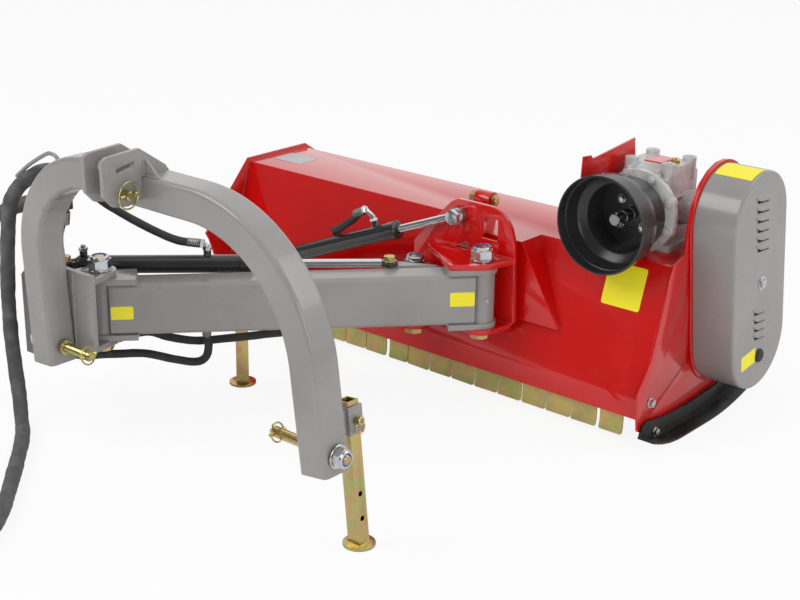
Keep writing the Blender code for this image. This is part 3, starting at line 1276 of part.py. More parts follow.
# Hoses: routes are points chosen by hand along the real runs
FLOOR = BUNDLE_R + 0.0004
LONG_BUNDLE = [(-0.452, 0.0858, 0.558), (-0.474, 0.0862, 0.588), (-0.504, 0.062, 0.588),
               (-0.529, 0.030, 0.562),
               (-0.555, 0.018, 0.520), (-0.561, 0.010, 0.460), (-0.569, 0.008, 0.393),
               (-0.579, 0.008, 0.290),
               (-0.579, 0.008, 0.188), (-0.569, 0.006, 0.110), (-0.552, -0.002, 0.050),
               (-0.510, -0.030, FLOOR + 0.004),
               (-0.429, -0.089, FLOOR), (-0.284, -0.222, FLOOR), (-0.174, -0.330, FLOOR),
               (-0.120, -0.415, FLOOR),
               (-0.118, -0.520, FLOOR), (-0.180, -0.618, FLOOR), (-0.300, -0.655, FLOOR),
               (-0.405, -0.605, FLOOR),
               (-0.440, -0.495, FLOOR), (-0.390, -0.405, FLOOR), (-0.300, -0.390, FLOOR),
               (-0.225, -0.440, FLOOR),
               (-0.215, -0.515, FLOOR), (-0.270, -0.570, FLOOR), (-0.345, -0.540, FLOOR)]
SHORT_BUNDLE = [(-0.460, 0.1195, 0.556), (-0.500, 0.1175, 0.534), (-0.565, 0.094, 0.505),
                (-0.646, 0.050, 0.468),
                (-0.702, 0.018, 0.405), (-0.742, -0.014, 0.305), (-0.762, -0.048, 0.195),
                (-0.770, -0.088, 0.100),
                (-0.758, -0.150, 0.042), (-0.725, -0.225, FLOOR + 0.003),
                (-0.672, -0.310, FLOOR + 0.0005), (-0.605, -0.385, FLOOR),
                (-0.560, -0.470, FLOOR), (-0.545, -0.560, FLOOR)]
SWING_HOSE = [(-0.4235, 0.0787, 0.540), (-0.4245, 0.0790, 0.568), (-0.436, 0.106, 0.592),
              (-0.446, 0.136, 0.582), (-0.464, 0.162, 0.554),
              (-0.472, 0.192, 0.510), (-0.448, 0.240, 0.466), (-0.400, 0.288, 0.426),
              (-0.350, 0.318, 0.405), (-0.3084, 0.3502, 0.3990)]
HEAD_HOSE = [(-0.436, 0.056, 0.5172), (-0.443, 0.058, 0.503), (-0.472, 0.066, 0.478),
             (-0.492, 0.074, 0.430), (-0.494, 0.074, 0.330), (-0.494, 0.078, 0.230),
             (-0.486, 0.108, 0.152), (-0.445, 0.185, 0.138), (-0.390, 0.240, 0.138),
             (-0.338, 0.283, 0.125),
             (-0.303, 0.320, 0.117), (-0.287, 0.337, 0.129), (-0.2825, 0.342, 0.157),
             (-0.2830, 0.3385, 0.180),
             (-0.268, 0.3245, 0.2140)]
ARM_HOSE = [(-0.411, 0.056, 0.5180), (-0.418, 0.058, 0.503), (-0.447, 0.066, 0.470),
            (-0.468, 0.072, 0.420), (-0.470, 0.074, 0.330), (-0.470, 0.078, 0.240),
            (-0.462, 0.105, 0.186), (-0.440, 0.168, 0.176), (-0.399, 0.252, 0.186),
            (-0.366, 0.292, 0.171),
            (-0.325, 0.341, 0.158), (-0.271, 0.399, 0.162), (-0.212, 0.459, 0.170),
            (-0.155, 0.517, 0.179),
            (-0.110, 0.560, 0.195)]
TILT_HOSE = [(-0.205, 0.7955, 0.400), (-0.219, 0.795, 0.391), (-0.240, 0.795, 0.370),
             (-0.264, 0.796, 0.353),
             (-0.294, 0.800, 0.332), (-0.322, 0.818, 0.322), (-0.346, 0.846, 0.306),
             (-0.366, 0.874, 0.290)]


def build_hoses():
    hose("hose_bundle_long", LONG_BUNDLE, BUNDLE_R, RUBBER, headstock)
    hose("hose_bundle_short", SHORT_BUNDLE, BUNDLE_R, RUBBER, headstock)
    hose("swing_cylinder_hose", SWING_HOSE, HOSE_R, RUBBER, headstock)
    hose("headstock_hose", HEAD_HOSE, HOSE_R, RUBBER, headstock)
    hose("arm_hose", ARM_HOSE, HOSE_R, RUBBER, headstock)
    hose("tilt_cylinder_hose", TILT_HOSE, HOSE_R, RUBBER, tilt_barrel_hinge)


build_arch()
build_cheeks()
build_top_pin()
build_lower_pins()
build_pivot_bracket()
for bolt_name, spot, level, owner in (("front_arm_bolt", A1, FRONT_ARM_Z, headstock),
                                      ("rear_arm_bolt", A2, REAR_ARM_Z, headstock),
                                      ("front_arm_outer_bolt", H1, FRONT_ARM_Z, bracket_hinge),
                                      ("rear_arm_outer_bolt", H2, REAR_ARM_Z, bracket_hinge)):
    build_pivot_bolt(bolt_name, spot, level, owner)
build_hose_holder()
build_hose_clamp()
build_stands()
build_arms()
build_swing_cylinder()
build_tilt_cylinder()
build_tilt_bracket()
build_tilt_shaft()
build_hood()
build_sides()
build_guard()
build_gearbox()
build_bevels()
build_shield()
build_gearbox_plate()
build_pulley("upper_pulley", (DRIVE_Y, DRIVE_Z), UPPER_PULLEY_R, OUTPUT_R + GAP, output_spin)
build_pulley("lower_pulley", ROTOR_YZ, LOWER_PULLEY_R, ROTOR_SHAFT_R + GAP, rotor_spin)
build_belt()
build_rotor()
build_skids()
build_roller()
build_flaps()
build_hoses()
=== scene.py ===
from math import atan2, cos, pi, radians, sin, tan

import bmesh
import bpy
from mathutils import Matrix, Quaternion, Vector, noise


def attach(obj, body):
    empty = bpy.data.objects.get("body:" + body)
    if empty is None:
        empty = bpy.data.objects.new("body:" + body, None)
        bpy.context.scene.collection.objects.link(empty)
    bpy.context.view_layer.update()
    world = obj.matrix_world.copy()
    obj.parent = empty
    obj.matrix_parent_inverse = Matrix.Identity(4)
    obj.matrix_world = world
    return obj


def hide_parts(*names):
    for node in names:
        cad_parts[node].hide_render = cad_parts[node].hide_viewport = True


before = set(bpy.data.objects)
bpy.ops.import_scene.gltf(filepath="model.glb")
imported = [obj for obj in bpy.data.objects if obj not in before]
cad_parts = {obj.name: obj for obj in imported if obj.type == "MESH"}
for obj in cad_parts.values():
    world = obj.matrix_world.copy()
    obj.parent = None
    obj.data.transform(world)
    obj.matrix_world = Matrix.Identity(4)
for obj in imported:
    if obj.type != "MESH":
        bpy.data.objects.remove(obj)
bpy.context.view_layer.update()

# Studio. The machine stands on a pale floor in a plain white studio, seen over its right front corner
# as in the photograph. Every place below is read from the middle of the hitch, on the ground: X runs
# towards the belt guard, Y away from the tractor.
HITCH = Vector((0.03915, -0.602, 0.0))

lens = bpy.data.cameras.new("photograph")
lens.lens = 68.04
lens.sensor_width = 36.0
lens.shift_x = 0.029
lens.shift_y = 0.014
camera = bpy.data.objects.new("photograph", lens)
bpy.context.scene.collection.objects.link(camera)
bpy.context.scene.camera = camera
look_turn, look_down = radians(41.03), radians(20.49)
look = Vector((-sin(look_turn) * cos(look_down), cos(look_turn) * cos(look_down), -sin(look_down)))
camera.rotation_mode = "QUATERNION"
camera.rotation_quaternion = look.to_track_quat("-Z", "Y") @ Quaternion((0, 0, 1), radians(0.57))
camera.location = (2.19815, -2.470, 1.468)
bpy.context.scene.view_settings.view_transform = "Standard"


def node(tree, kind, inputs=(), **settings):
    """Adds a node. Settings are its own, and inputs are values or the sockets that feed it."""
    made = tree.nodes.new(kind)
    for label, value in settings.items():
        setattr(made, label, value)
    for label, value in dict(inputs).items():
        if isinstance(value, bpy.types.NodeSocket):
            tree.links.new(value, made.inputs[label])
        else:
            made.inputs[label].default_value = value
    return made


def sums(tree, operation, first, second=0.0, third=None):
    """One step of arithmetic between sockets or numbers."""
    values = {0: first, 1: second}
    if third is not None:
        values[2] = third
    return node(tree, "ShaderNodeMath", values, operation=operation).outputs[0]


def ramped(tree, value, low, high, start=0.0, end=1.0):
    """A value eased from start to end while it goes from low to high."""
    return node(tree, "ShaderNodeMapRange", {0: value, 1: low, 2: high, 3: start, 4: end},
                interpolation_type="SMOOTHSTEP").outputs[0]


room = bpy.data.worlds.new("studio")
bpy.context.scene.world = room
room.use_nodes = True
sky = room.node_tree
sky.nodes.clear()
ray = node(sky, "ShaderNodeLightPath")
way = node(sky, "ShaderNodeSeparateXYZ", {0: node(sky, "ShaderNodeTexCoord").outputs["Generated"]})
backdrop = ramped(sky, way.outputs[1], -0.35, 0.50, 0.14, 1.0)
ceiling = ramped(sky, way.outputs[2], 0.66, 0.95, 0.0, 0.8)
mirrored = sums(sky, "MULTIPLY", sums(sky, "MAXIMUM", backdrop, ceiling), ray.outputs["Is Glossy Ray"])
direct = sums(sky, "ADD", ray.outputs["Is Camera Ray"], ray.outputs["Is Transmission Ray"])
others = sums(sky, "SUBTRACT", sums(sky, "SUBTRACT", 1.0, direct), ray.outputs["Is Glossy Ray"])
level = sums(sky, "ADD", sums(sky, "ADD", direct, mirrored), sums(sky, "MULTIPLY", others, 0.66))
glow = node(sky, "ShaderNodeBackground", {"Color": (1.0, 1.0, 1.0, 1.0), "Strength": level})
node(sky, "ShaderNodeOutputWorld", {"Surface": glow.outputs[0]})

for name, place, aim, size, power in (("key", (-1.6, -2.6, 3.2), (0, 0, 0.3), 2.2, 60.0),
                                      ("rim", (2.6, 1.9, 2.8), (0, 0.2, 0.3), 2.0, 22.0),
                                      ("fill", (3.4, -1.7, 1.5), (0.5, 0.3, 0.3), 1.8, 24.0)):
    light = bpy.data.lights.new(name, "AREA")
    light.size = size
    light.energy = power
    lamp = bpy.data.objects.new(name, light)
    lamp.location = place
    lamp.rotation_euler = (Vector(aim) - Vector(place)).to_track_quat("-Z", "Y").to_euler()
    bpy.context.scene.collection.objects.link(lamp)

ground = bpy.data.meshes.new("floor")
reach, ground_z = 16.0, -0.0006
QUARTERS = ((1, 1), (-1, 1), (-1, -1), (1, -1))
ground.from_pydata([(x * reach, y * reach, ground_z) for x, y in QUARTERS], [], [(0, 1, 2, 3)])
floor = bpy.data.objects.new("floor", ground)
bpy.context.scene.collection.objects.link(floor)
pale = bpy.data.materials.new("pale floor")
pale.use_nodes = True
tree = pale.node_tree
tree.nodes.clear()
matt = node(tree, "ShaderNodeBsdfPrincipled", {"Base Color": (0.86, 0.86, 0.86, 1.0), "Roughness": 0.9})
white = node(tree, "ShaderNodeEmission", {"Color": (1.0, 1.0, 1.0, 1.0), "Strength": 1.0})
share = sums(tree, "MULTIPLY", node(tree, "ShaderNodeLightPath").outputs["Is Camera Ray"], 0.90)
mixed = node(tree, "ShaderNodeMixShader", {0: share, 1: matt.outputs[0], 2: white.outputs[0]})
node(tree, "ShaderNodeOutputMaterial", {"Surface": mixed.outputs[0]})
ground.materials.append(pale)


# Hoses. Hydraulic hoses in woven nylon sleeves: two thick bundles come over the arch from the tractor's
# couplings and lie on the ground, and four single hoses leave the clamp for the two cylinders and for
# the far end of the arms. The ends are crimped in grey steel ferrules.
BUNDLE_R = 0.018
HOSE_R = 0.010
FLOOR = BUNDLE_R + 0.0004
HOSES = {
    "hose_bundle_long": ("headstock", BUNDLE_R, 2.386, "connector", [
        (-0.452, 0.0858, 0.558), (-0.474, 0.0862, 0.588), (-0.504, 0.062, 0.588), (-0.529, 0.030, 0.562),
        (-0.555, 0.018, 0.520), (-0.561, 0.010, 0.460), (-0.569, 0.008, 0.393), (-0.579, 0.008, 0.290),
        (-0.579, 0.008, 0.188), (-0.569, 0.006, 0.110), (-0.552, -0.002, 0.050),
        (-0.510, -0.030, FLOOR + 0.004), (-0.429, -0.089, FLOOR), (-0.284, -0.222, FLOOR),
        (-0.174, -0.330, FLOOR), (-0.120, -0.415, FLOOR), (-0.118, -0.520, FLOOR), (-0.180, -0.618, FLOOR),
        (-0.300, -0.655, FLOOR), (-0.405, -0.605, FLOOR), (-0.440, -0.495, FLOOR), (-0.390, -0.405, FLOOR),
        (-0.300, -0.390, FLOOR), (-0.225, -0.440, FLOOR), (-0.215, -0.515, FLOOR), (-0.270, -0.570, FLOOR),
        (-0.345, -0.540, FLOOR)]),
    "hose_bundle_short": ("headstock", BUNDLE_R, 1.197, "connector", [
        (-0.460, 0.1195, 0.556), (-0.500, 0.1175, 0.534), (-0.565, 0.094, 0.505), (-0.646, 0.050, 0.468),
        (-0.702, 0.018, 0.405), (-0.742, -0.014, 0.305), (-0.762, -0.048, 0.195), (-0.770, -0.088, 0.100),
        (-0.758, -0.150, 0.042), (-0.725, -0.225, FLOOR + 0.003), (-0.672, -0.310, FLOOR + 0.0005),
        (-0.605, -0.385, FLOOR), (-0.560, -0.470, FLOOR), (-0.545, -0.560, FLOOR)]),
    "swing_cylinder_hose": ("headstock", HOSE_R, 0.462, "object", [
        (-0.4235, 0.0787, 0.540), (-0.4245, 0.0790, 0.568), (-0.436, 0.106, 0.592), (-0.446, 0.136, 0.582),
        (-0.464, 0.162, 0.554), (-0.472, 0.192, 0.510), (-0.448, 0.240, 0.466), (-0.400, 0.288, 0.426),
        (-0.350, 0.318, 0.405), (-0.3084, 0.3502, 0.3990)]),
    "headstock_hose": ("headstock", HOSE_R, 0.803, "object", [
        (-0.436, 0.056, 0.5172), (-0.443, 0.058, 0.503), (-0.472, 0.066, 0.478), (-0.492, 0.074, 0.430),
        (-0.494, 0.074, 0.330), (-0.494, 0.078, 0.230), (-0.486, 0.108, 0.152), (-0.445, 0.185, 0.138),
        (-0.390, 0.240, 0.138), (-0.338, 0.283, 0.125), (-0.303, 0.320, 0.117), (-0.287, 0.337, 0.129),
        (-0.2825, 0.342, 0.157), (-0.2830, 0.3385, 0.180), (-0.268, 0.3245, 0.2140)]),
    "arm_hose": ("headstock", HOSE_R, 0.952, "object", [
        (-0.411, 0.056, 0.5180), (-0.418, 0.058, 0.503), (-0.447, 0.066, 0.470), (-0.468, 0.072, 0.420),
        (-0.470, 0.074, 0.330), (-0.470, 0.078, 0.240), (-0.462, 0.105, 0.186), (-0.440, 0.168, 0.176),
        (-0.399, 0.252, 0.186), (-0.366, 0.292, 0.171), (-0.325, 0.341, 0.158), (-0.271, 0.399, 0.162),
        (-0.212, 0.459, 0.170), (-0.155, 0.517, 0.179), (-0.110, 0.560, 0.195)]),
    "tilt_cylinder_hose": ("tilt_barrel", HOSE_R, 0.230, "object", [
        (-0.205, 0.7955, 0.400), (-0.219, 0.795, 0.391), (-0.240, 0.795, 0.370), (-0.264, 0.796, 0.353),
        (-0.294, 0.800, 0.332), (-0.322, 0.818, 0.322), (-0.346, 0.846, 0.306), (-0.366, 0.874, 0.290)]),
}


def along_route(route, step):
    """Points about a step apart on a smooth curve through a route's points."""
    spots = [Vector(p) for p in route]
    dense = []
    for i in range(len(spots) - 1):
        p0, p1 = spots[max(i - 1, 0)], spots[i]
        p2, p3 = spots[i + 1], spots[min(i + 2, len(spots) - 1)]
        for k in range(16):
            t = k / 16
            dense.append(0.5 * ((2 * p1) + (p2 - p0) * t + (2 * p0 - 5 * p1 + 4 * p2 - p3) * t * t
                                + (3 * p1 - p0 - 3 * p2 + p3) * t ** 3))
    dense.append(spots[-1])
    length = sum((b - a).length for a, b in zip(dense, dense[1:]))
    count = max(4, round(length / step))
    kept, walked, target = [dense[0]], 0.0, length / count
    for a, b in zip(dense, dense[1:]):
        span = (b - a).length
        while walked + span >= target - 1e-9 and len(kept) < count:
            kept.append(a.lerp(b, (target - walked) / span))
            target += length / count
        walked += span
    kept.append(dense[-1])
    return kept


RIGHT, BACK, UP = Vector((1, 0, 0)), Vector((0, 1, 0)), Vector((0, 0, 1))


def square_to(direction):
    """Two unit vectors square to a direction and to each other."""
    ahead = Vector(direction).normalized()
    side = ahead.cross(UP if abs(ahead.z) < 0.9 else RIGHT).normalized()
    return side, ahead.cross(side)


def heading(line, i):
    """The run of a line at one of its points, from the point before to the one after."""
    return line[min(i + 1, len(line) - 1)] - line[max(i - 1, 0)]


def around(count):
    """Even angles round a circle."""
    return [2 * pi * i / count for i in range(count)]


def skin(shape, rings, closed=True):
    """Joins rings of points into a tube, and closes its two ends."""
    rows = [[shape.verts.new(p) for p in ring] for ring in rings]
    count = len(rows[0])
    for first, second in zip(rows, rows[1:]):
        for i in range(count):
            j = (i + 1) % count
            shape.faces.new((first[i], first[j], second[j], second[i]))
    if closed:
        shape.faces.new(rows[0])
        shape.faces.new(reversed(rows[-1]))


def turned(shape, profile, base, direction, sides=40):
    """Adds a turned solid of (along, radius) points. One that starts off its axis is a ring."""
    ahead = Vector(direction).normalized()
    side, up = square_to(ahead)
    rings = []
    for along, radius in profile:
        centre = Vector(base) + ahead * along
        rings.append([centre + side * radius * cos(a) + up * radius * sin(a) for a in around(sides)])
    if profile[0][1] > 1e-7:
        skin(shape, rings + rings[:1], closed=False)
    else:
        skin(shape, rings[1:-1])


def finished(name, shape, material, body, stands_for=(), edge=0.0, steps=2, angle=32.0):
    """Makes a piece of a shape: its normals outward, its edges rounded or left crisp, on its body."""
    bmesh.ops.remove_doubles(shape, verts=shape.verts, dist=1e-7)
    bmesh.ops.recalc_face_normals(shape, faces=shape.faces)
    bmesh.ops.translate(shape, vec=HITCH, verts=shape.verts)
    mesh = bpy.data.meshes.new(name)
    shape.to_mesh(mesh)
    shape.free()
    mesh.materials.append(material)
    mesh.shade_smooth()
    made = bpy.data.objects.new(name, mesh)
    bpy.context.scene.collection.objects.link(made)
    if edge:
        broken = made.modifiers.new("edges", "BEVEL")
        broken.width = edge
        broken.segments = steps
        broken.limit_method = "ANGLE"
        broken.angle_limit = radians(angle)
        broken.harden_normals = True
    else:
        mesh.set_sharp_from_angle(angle=radians(angle))
    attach(made, body)
    if stands_for:
        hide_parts(*stands_for)
    return made


def sockets(name, colours, numbers):
    """A shader group with its named inputs, and with colour, roughness and relief as its outputs."""
    group = bpy.data.node_groups.new(name, "ShaderNodeTree")
    inputs = [(label, "Color", (0.0, 0.0, 0.0, 1.0)) for label in colours]
    inputs += [(label, "Float", value) for label, value in numbers.items()]
    for label, kind, value in inputs:
        made = group.interface.new_socket(label, in_out="INPUT", socket_type="NodeSocket" + kind)
        made.default_value = value
    for label, kind in (("Colour", "Color"), ("Roughness", "Float"), ("Height", "Float")):
        group.interface.new_socket(label, in_out="OUTPUT", socket_type="NodeSocket" + kind)
    return group, group.nodes.new("NodeGroupInput").outputs, group.nodes.new("NodeGroupOutput").inputs


def ended(group, far, *sources):
    """Feeds a group's colour, roughness and relief."""
    for source, target in zip(sources, far):
        group.links.new(source, target)
    return group


def blended(tree, share, first, second):
    """Two colours mixed by a share."""
    return node(tree, "ShaderNodeMix", {0: share, 6: first, 7: second}, data_type="RGBA").outputs[2]


def speckle(tree, scale, detail=2.0, roughness=0.5, distortion=0.0):
    """Noise on the piece's own coordinates."""
    place = node(tree, "ShaderNodeTexCoord").outputs["Object"]
    return node(tree, "ShaderNodeTexNoise", {"Vector": place, "Scale": scale, "Detail": detail,
                                             "Roughness": roughness, "Distortion": distortion}).outputs[0]


def braid_group():
    """A woven sleeve on U, metres along, and V, once round: two sets of yarn over each other."""
    group, near, far = sockets("braid", ("Yarn", "Shine"), {"Pitch": 0.006, "Strands": 20.0})
    spot = node(group, "ShaderNodeSeparateXYZ", {0: node(group, "ShaderNodeTexCoord").outputs["UV"]})
    run = sums(group, "DIVIDE", spot.outputs[0], near["Pitch"])
    round_it = sums(group, "MULTIPLY", spot.outputs[1], near["Strands"])
    waves = []
    for operation in ("ADD", "SUBTRACT"):
        phase = sums(group, "MULTIPLY", sums(group, operation, run, round_it), 2 * pi)
        waves.append(sums(group, "SINE", phase))
    height = sums(group, "MAXIMUM", *waves)
    cloud = speckle(group, 34.0, 4.0)
    # Painted sheen: the raised yarn is mixed towards the lighter Shine colour, broken up by a cloud.
    share = sums(group, "MULTIPLY", ramped(group, height, 0.1, 1.0),
                 ramped(group, cloud, 0.35, 0.75, 0.25, 1.0))
    colour = blended(group, share, near["Yarn"], near["Shine"])
    return ended(group, far, colour, ramped(group, cloud, 0.3, 0.7, 0.55, 0.85), height)


def surfaced(name, slot, group, values, bump, **shader):
    """A material whose colour, roughness and relief come from a group, and the rest from the shader."""
    made = bpy.data.materials.new(name)
    made.use_nodes = True
    tree = made.node_tree
    tree.nodes.clear()
    source = node(tree, "ShaderNodeGroup", node_tree=group)
    for label, value in values.items():
        source.inputs[label].default_value = value
    relief = node(tree, "ShaderNodeBump", {"Height": source.outputs["Height"], "Strength": bump[0],
                                           "Distance": bump[1]})
    given = {"Base Color": source.outputs["Colour"], "Roughness": source.outputs["Roughness"],
             "Normal": relief.outputs[0]}
    given.update({label.replace("_", " "): value for label, value in shader.items()})
    body = node(tree, "ShaderNodeBsdfPrincipled", given)
    node(tree, "ShaderNodeOutputMaterial", {"Surface": body.outputs[0]})
    return made


braid = braid_group()
BUNDLE_SLEEVE = surfaced("woven bundle sleeve", "black_rubber", braid, {
    "Yarn": (0.050, 0.050, 0.051, 1), "Shine": (0.24, 0.238, 0.238, 1), "Pitch": 0.0042, "Strands": 26.0},
    (0.5, 0.0006))
HOSE_SLEEVE = surfaced("woven hose sleeve", "black_rubber", braid, {
    "Yarn": (0.016, 0.016, 0.016, 1), "Shine": (0.085, 0.085, 0.085, 1), "Pitch": 0.0036, "Strands": 16.0},
    (0.5, 0.0005))


def enamel_group():
    """Sprayed paint: a slow drift of shade, orange peel, and fine dust in the film."""
    group, near, far = sockets("enamel", ("Colour", "Shade"), {
        "Drift": 0.5, "Drift Scale": 3.0, "Peel Scale": 260.0, "Dust": 0.1, "Gloss": 0.3,
        "Gloss Drift": 0.1})
    drift = speckle(group, near["Drift Scale"], 4.0, 0.55)
    share = sums(group, "MULTIPLY", ramped(group, drift, 0.32, 0.70), near["Drift"])
    coat = blended(group, share, near["Colour"], near["Shade"])
    grit = ramped(group, speckle(group, 720.0), 0.64, 0.74)
    dust = sums(group, "MULTIPLY", grit, near["Dust"])
    dull = sums(group, "MULTIPLY_ADD", sums(group, "SUBTRACT", drift, 0.5), near["Gloss Drift"],
                near["Gloss"])
    return ended(group, far, blended(group, dust, coat, (0.55, 0.54, 0.52, 1)), sums(group, "ADD", dull,
        sums(group, "MULTIPLY", dust, 0.35)), speckle(group, near["Peel Scale"], 1.5))


def plating_group():
    """Plated or bare metal: clouds of two tints in the film, fine grain, and handling marks."""
    group, near, far = sockets("plating", ("Colour", "Tint", "Other Tint"), {
        "Clouds": 0.5, "Cloud Scale": 20.0, "Grain Scale": 900.0, "Gloss": 0.3, "Marks": 0.1})
    first = speckle(group, near["Cloud Scale"], 3.0, 0.6, 0.9)
    second = speckle(group, sums(group, "MULTIPLY", near["Cloud Scale"], 1.73), 3.0, 0.6, 1.4)
    one = sums(group, "MULTIPLY", ramped(group, first, 0.36, 0.68), near["Clouds"])
    two = sums(group, "MULTIPLY", ramped(group, second, 0.44, 0.72), near["Clouds"])
    film = blended(group, one, near["Colour"], near["Tint"])
    wear = ramped(group, speckle(group, 60.0, 5.0, 0.7), 0.45, 0.75)
    marks = sums(group, "MULTIPLY", wear, near["Marks"])
    return ended(group, far, blended(group, two, film, near["Other Tint"]),
                 sums(group, "ADD", near["Gloss"], marks), speckle(group, near["Grain Scale"], 3.0))


enamel = enamel_group()
plating = plating_group()
FERRULE_STEEL = surfaced("grey zinc ferrule", "bright_zinc", plating, {
    "Colour": (0.30, 0.30, 0.29, 1), "Tint": (0.22, 0.22, 0.21, 1), "Other Tint": (0.36, 0.34, 0.28, 1),
    "Clouds": 0.6, "Cloud Scale": 60.0, "Gloss": 0.32, "Marks": 0.2}, (0.15, 0.0003), Metallic=1.0)
CAP_PLASTIC = surfaced("coupling cap plastic", "black_rubber", enamel, {
    "Colour": (0.012, 0.012, 0.013, 1), "Shade": (0.03, 0.03, 0.03, 1), "Gloss": 0.42, "Dust": 0.12},
    (0.1, 0.0002))


def sleeve_mesh(line, radius, sides, ripple):
    """A sleeve along a line, with its folds, and U in metres and V once round."""
    shape = bmesh.new()
    layer = shape.loops.layers.uv.new("along")
    side = square_to(line[1] - line[0])[0]
    rows, walked = [], 0.0
    for i, spot in enumerate(line):
        ahead = heading(line, i).normalized()
        side = (side - ahead * side.dot(ahead)).normalized()
        up = ahead.cross(side)
        walked += (spot - line[i - 1]).length if i else 0.0
        row = []
        for turn in around(sides):
            out = side * cos(turn) + up * sin(turn)
            fold = noise.noise((spot + out * radius * 1.6) * 55.0) * 0.6 + noise.noise(spot * 18.0) * 0.5
            size = radius * (1.0 - ripple * (0.5 + 0.5 * max(-1.0, min(1.0, 2.0 * fold))))
            row.append(shape.verts.new(spot + out * size))
        rows.append((row, walked))
    for (first, low), (second, high) in zip(rows, rows[1:]):
        for k in range(sides):
            m = (k + 1) % sides
            face = shape.faces.new((first[k], first[m], second[m], second[k]))
            for loop, uv in zip(face.loops, ((low, k), (low, k + 1), (high, k + 1), (high, k))):
                loop[layer].uv = (uv[0], uv[1] / sides)
    shape.faces.new(rows[0][0])
    shape.faces.new(reversed(rows[-1][0]))
    return shape


for name, (body, radius, length, far_end, route) in HOSES.items():
    thick = radius > HOSE_R
    line = along_route(route, 0.006 if thick else 0.004)
    shape = sleeve_mesh(line, radius, 20 if thick else 16, 0.15 if thick else 0.07)
    sleeve = finished(name + "_sleeve", shape, BUNDLE_SLEEVE if thick else HOSE_SLEEVE, body, [name],
                      angle=60.0)
    start, end = line[0], line[-1]
    leaving, arriving = (line[1] - line[0]).normalized(), (line[-1] - line[-2]).normalized()
    metal = bmesh.new()
    if thick:
        side = square_to(arriving)[0]
        caps = bmesh.new()
        for offset in (-0.0085, 0.0085):
            base = end - arriving * 0.004 + side * offset - UP * 0.007
            turned(metal, [(0, 0), (0, 0.0075), (0.014, 0.0075), (0.015, 0.0082), (0.034, 0.0082),
                           (0.035, 0.006), (0.035, 0)], base, arriving, 24)
            turned(caps, [(0.030, 0), (0.030, 0.0080), (0.032, 0.0084), (0.056, 0.0084), (0.059, 0.006),
                          (0.059, 0)], base, arriving, 24)
        extra = [finished(name + "_couplings", metal, FERRULE_STEEL, body),
                 finished(name + "_caps", caps, CAP_PLASTIC, body)]
    else:
        crimped = [(0, 0), (0, 0.0078), (0.002, 0.0104)]
        for k in range(5):
            crimped += [(0.004 + k * 0.005, 0.0108), (0.006 + k * 0.005, 0.0101)]
        crimped += [(0.030, 0.0108), (0.031, 0.0095), (0.031, 0)]
        for spot, run in ((start, leaving), (end, -arriving)):
            turned(metal, crimped, spot - run * 0.0005, run, 28)
        extra = [finished(name + "_ferrules", metal, FERRULE_STEEL, body)]


# Arch. One square tube bent to a lopsided hoop, its corners rounded as rolled tube is, sprayed warm
# grey. A bent rod on its left shoulder holds the hoses up, and a clamp behind it grips them.
ARCH_TUBE = 0.070
ARCH_WALL = 0.006
ARCH_TOP_Z = 0.652
LEG_BOTTOM_Z = 0.190
FEET_X = (-0.408, 0.409)
CORNERS_X = (-0.437, 0.345)
BENDS = (0.200, 0.300)
GREY = surfaced("warm grey enamel", "grey_paint", enamel, {
    "Colour": (0.300, 0.289, 0.280, 1), "Shade": (0.235, 0.224, 0.215, 1), "Drift": 0.6, "Drift Scale": 5.0,
    "Peel Scale": 240.0, "Dust": 0.08, "Gloss": 0.27, "Gloss Drift": 0.14}, (0.20, 0.0003),
    Coat_Weight=0.45, Coat_Roughness=0.10)
CLAMP_PLASTIC = surfaced("clamp plastic", "black_rubber", enamel, {
    "Colour": (0.015, 0.015, 0.016, 1), "Shade": (0.030, 0.030, 0.031, 1), "Gloss": 0.45, "Dust": 0.15},
    (0.2, 0.0003))


def bent_path(corners, radii, steps):
    """A flat path whose inner corners are bent to their radii."""
    path = [Vector(corners[0])]
    for before, corner, after, radius in zip(corners, corners[1:], corners[2:], radii):
        corner = Vector(corner)
        back = (Vector(before) - corner).normalized()
        ahead = (Vector(after) - corner).normalized()
        half = back.angle(ahead) / 2
        centre = corner + (back + ahead).normalized() * (radius / sin(half))
        first = corner + back * (radius / tan(half)) - centre
        sweep = first.angle_signed(corner + ahead * (radius / tan(half)) - centre)
        for i in range(steps + 1):
            turn = -sweep * i / steps
            path.append(centre + Vector((first.x * cos(turn) - first.y * sin(turn),
                                         first.x * sin(turn) + first.y * cos(turn))))
    path.append(Vector(corners[-1]))
    return path


def rounded_square(half, corner):
    """The outline of a square section with rounded corners, its flats held flat beside each corner."""
    outline, flat, shoulder = [], half - corner, 0.12 * corner
    for quarter, (a, b) in enumerate(QUARTERS):
        arc = [pi / 2 * (quarter + i / 5) for i in range(6)]
        spots = [(a * flat + corner * cos(turn), b * flat + corner * sin(turn)) for turn in arc]
        (x, y), (u, v), first, last = spots[0], spots[-1], arc[0], arc[-1]
        outline.append((x + shoulder * sin(first), y - shoulder * cos(first)))
        outline += spots
        outline.append((u - shoulder * sin(last), v + shoulder * cos(last)))
    return outline


corners = [(FEET_X[0], LEG_BOTTOM_Z), (CORNERS_X[0], ARCH_TOP_Z), (CORNERS_X[1], ARCH_TOP_Z),
           (FEET_X[1], LEG_BOTTOM_Z)]
path = bent_path(corners, BENDS, 36)


def tube_ring(point, run, half, corner):
    """The square section's corners at a point of the path, square to its run."""
    out = Vector((-run.y, run.x)).normalized()
    outline = rounded_square(half, corner)
    return [Vector((point.x + out.x * a, b, point.y + out.y * a)) for a, b in outline]


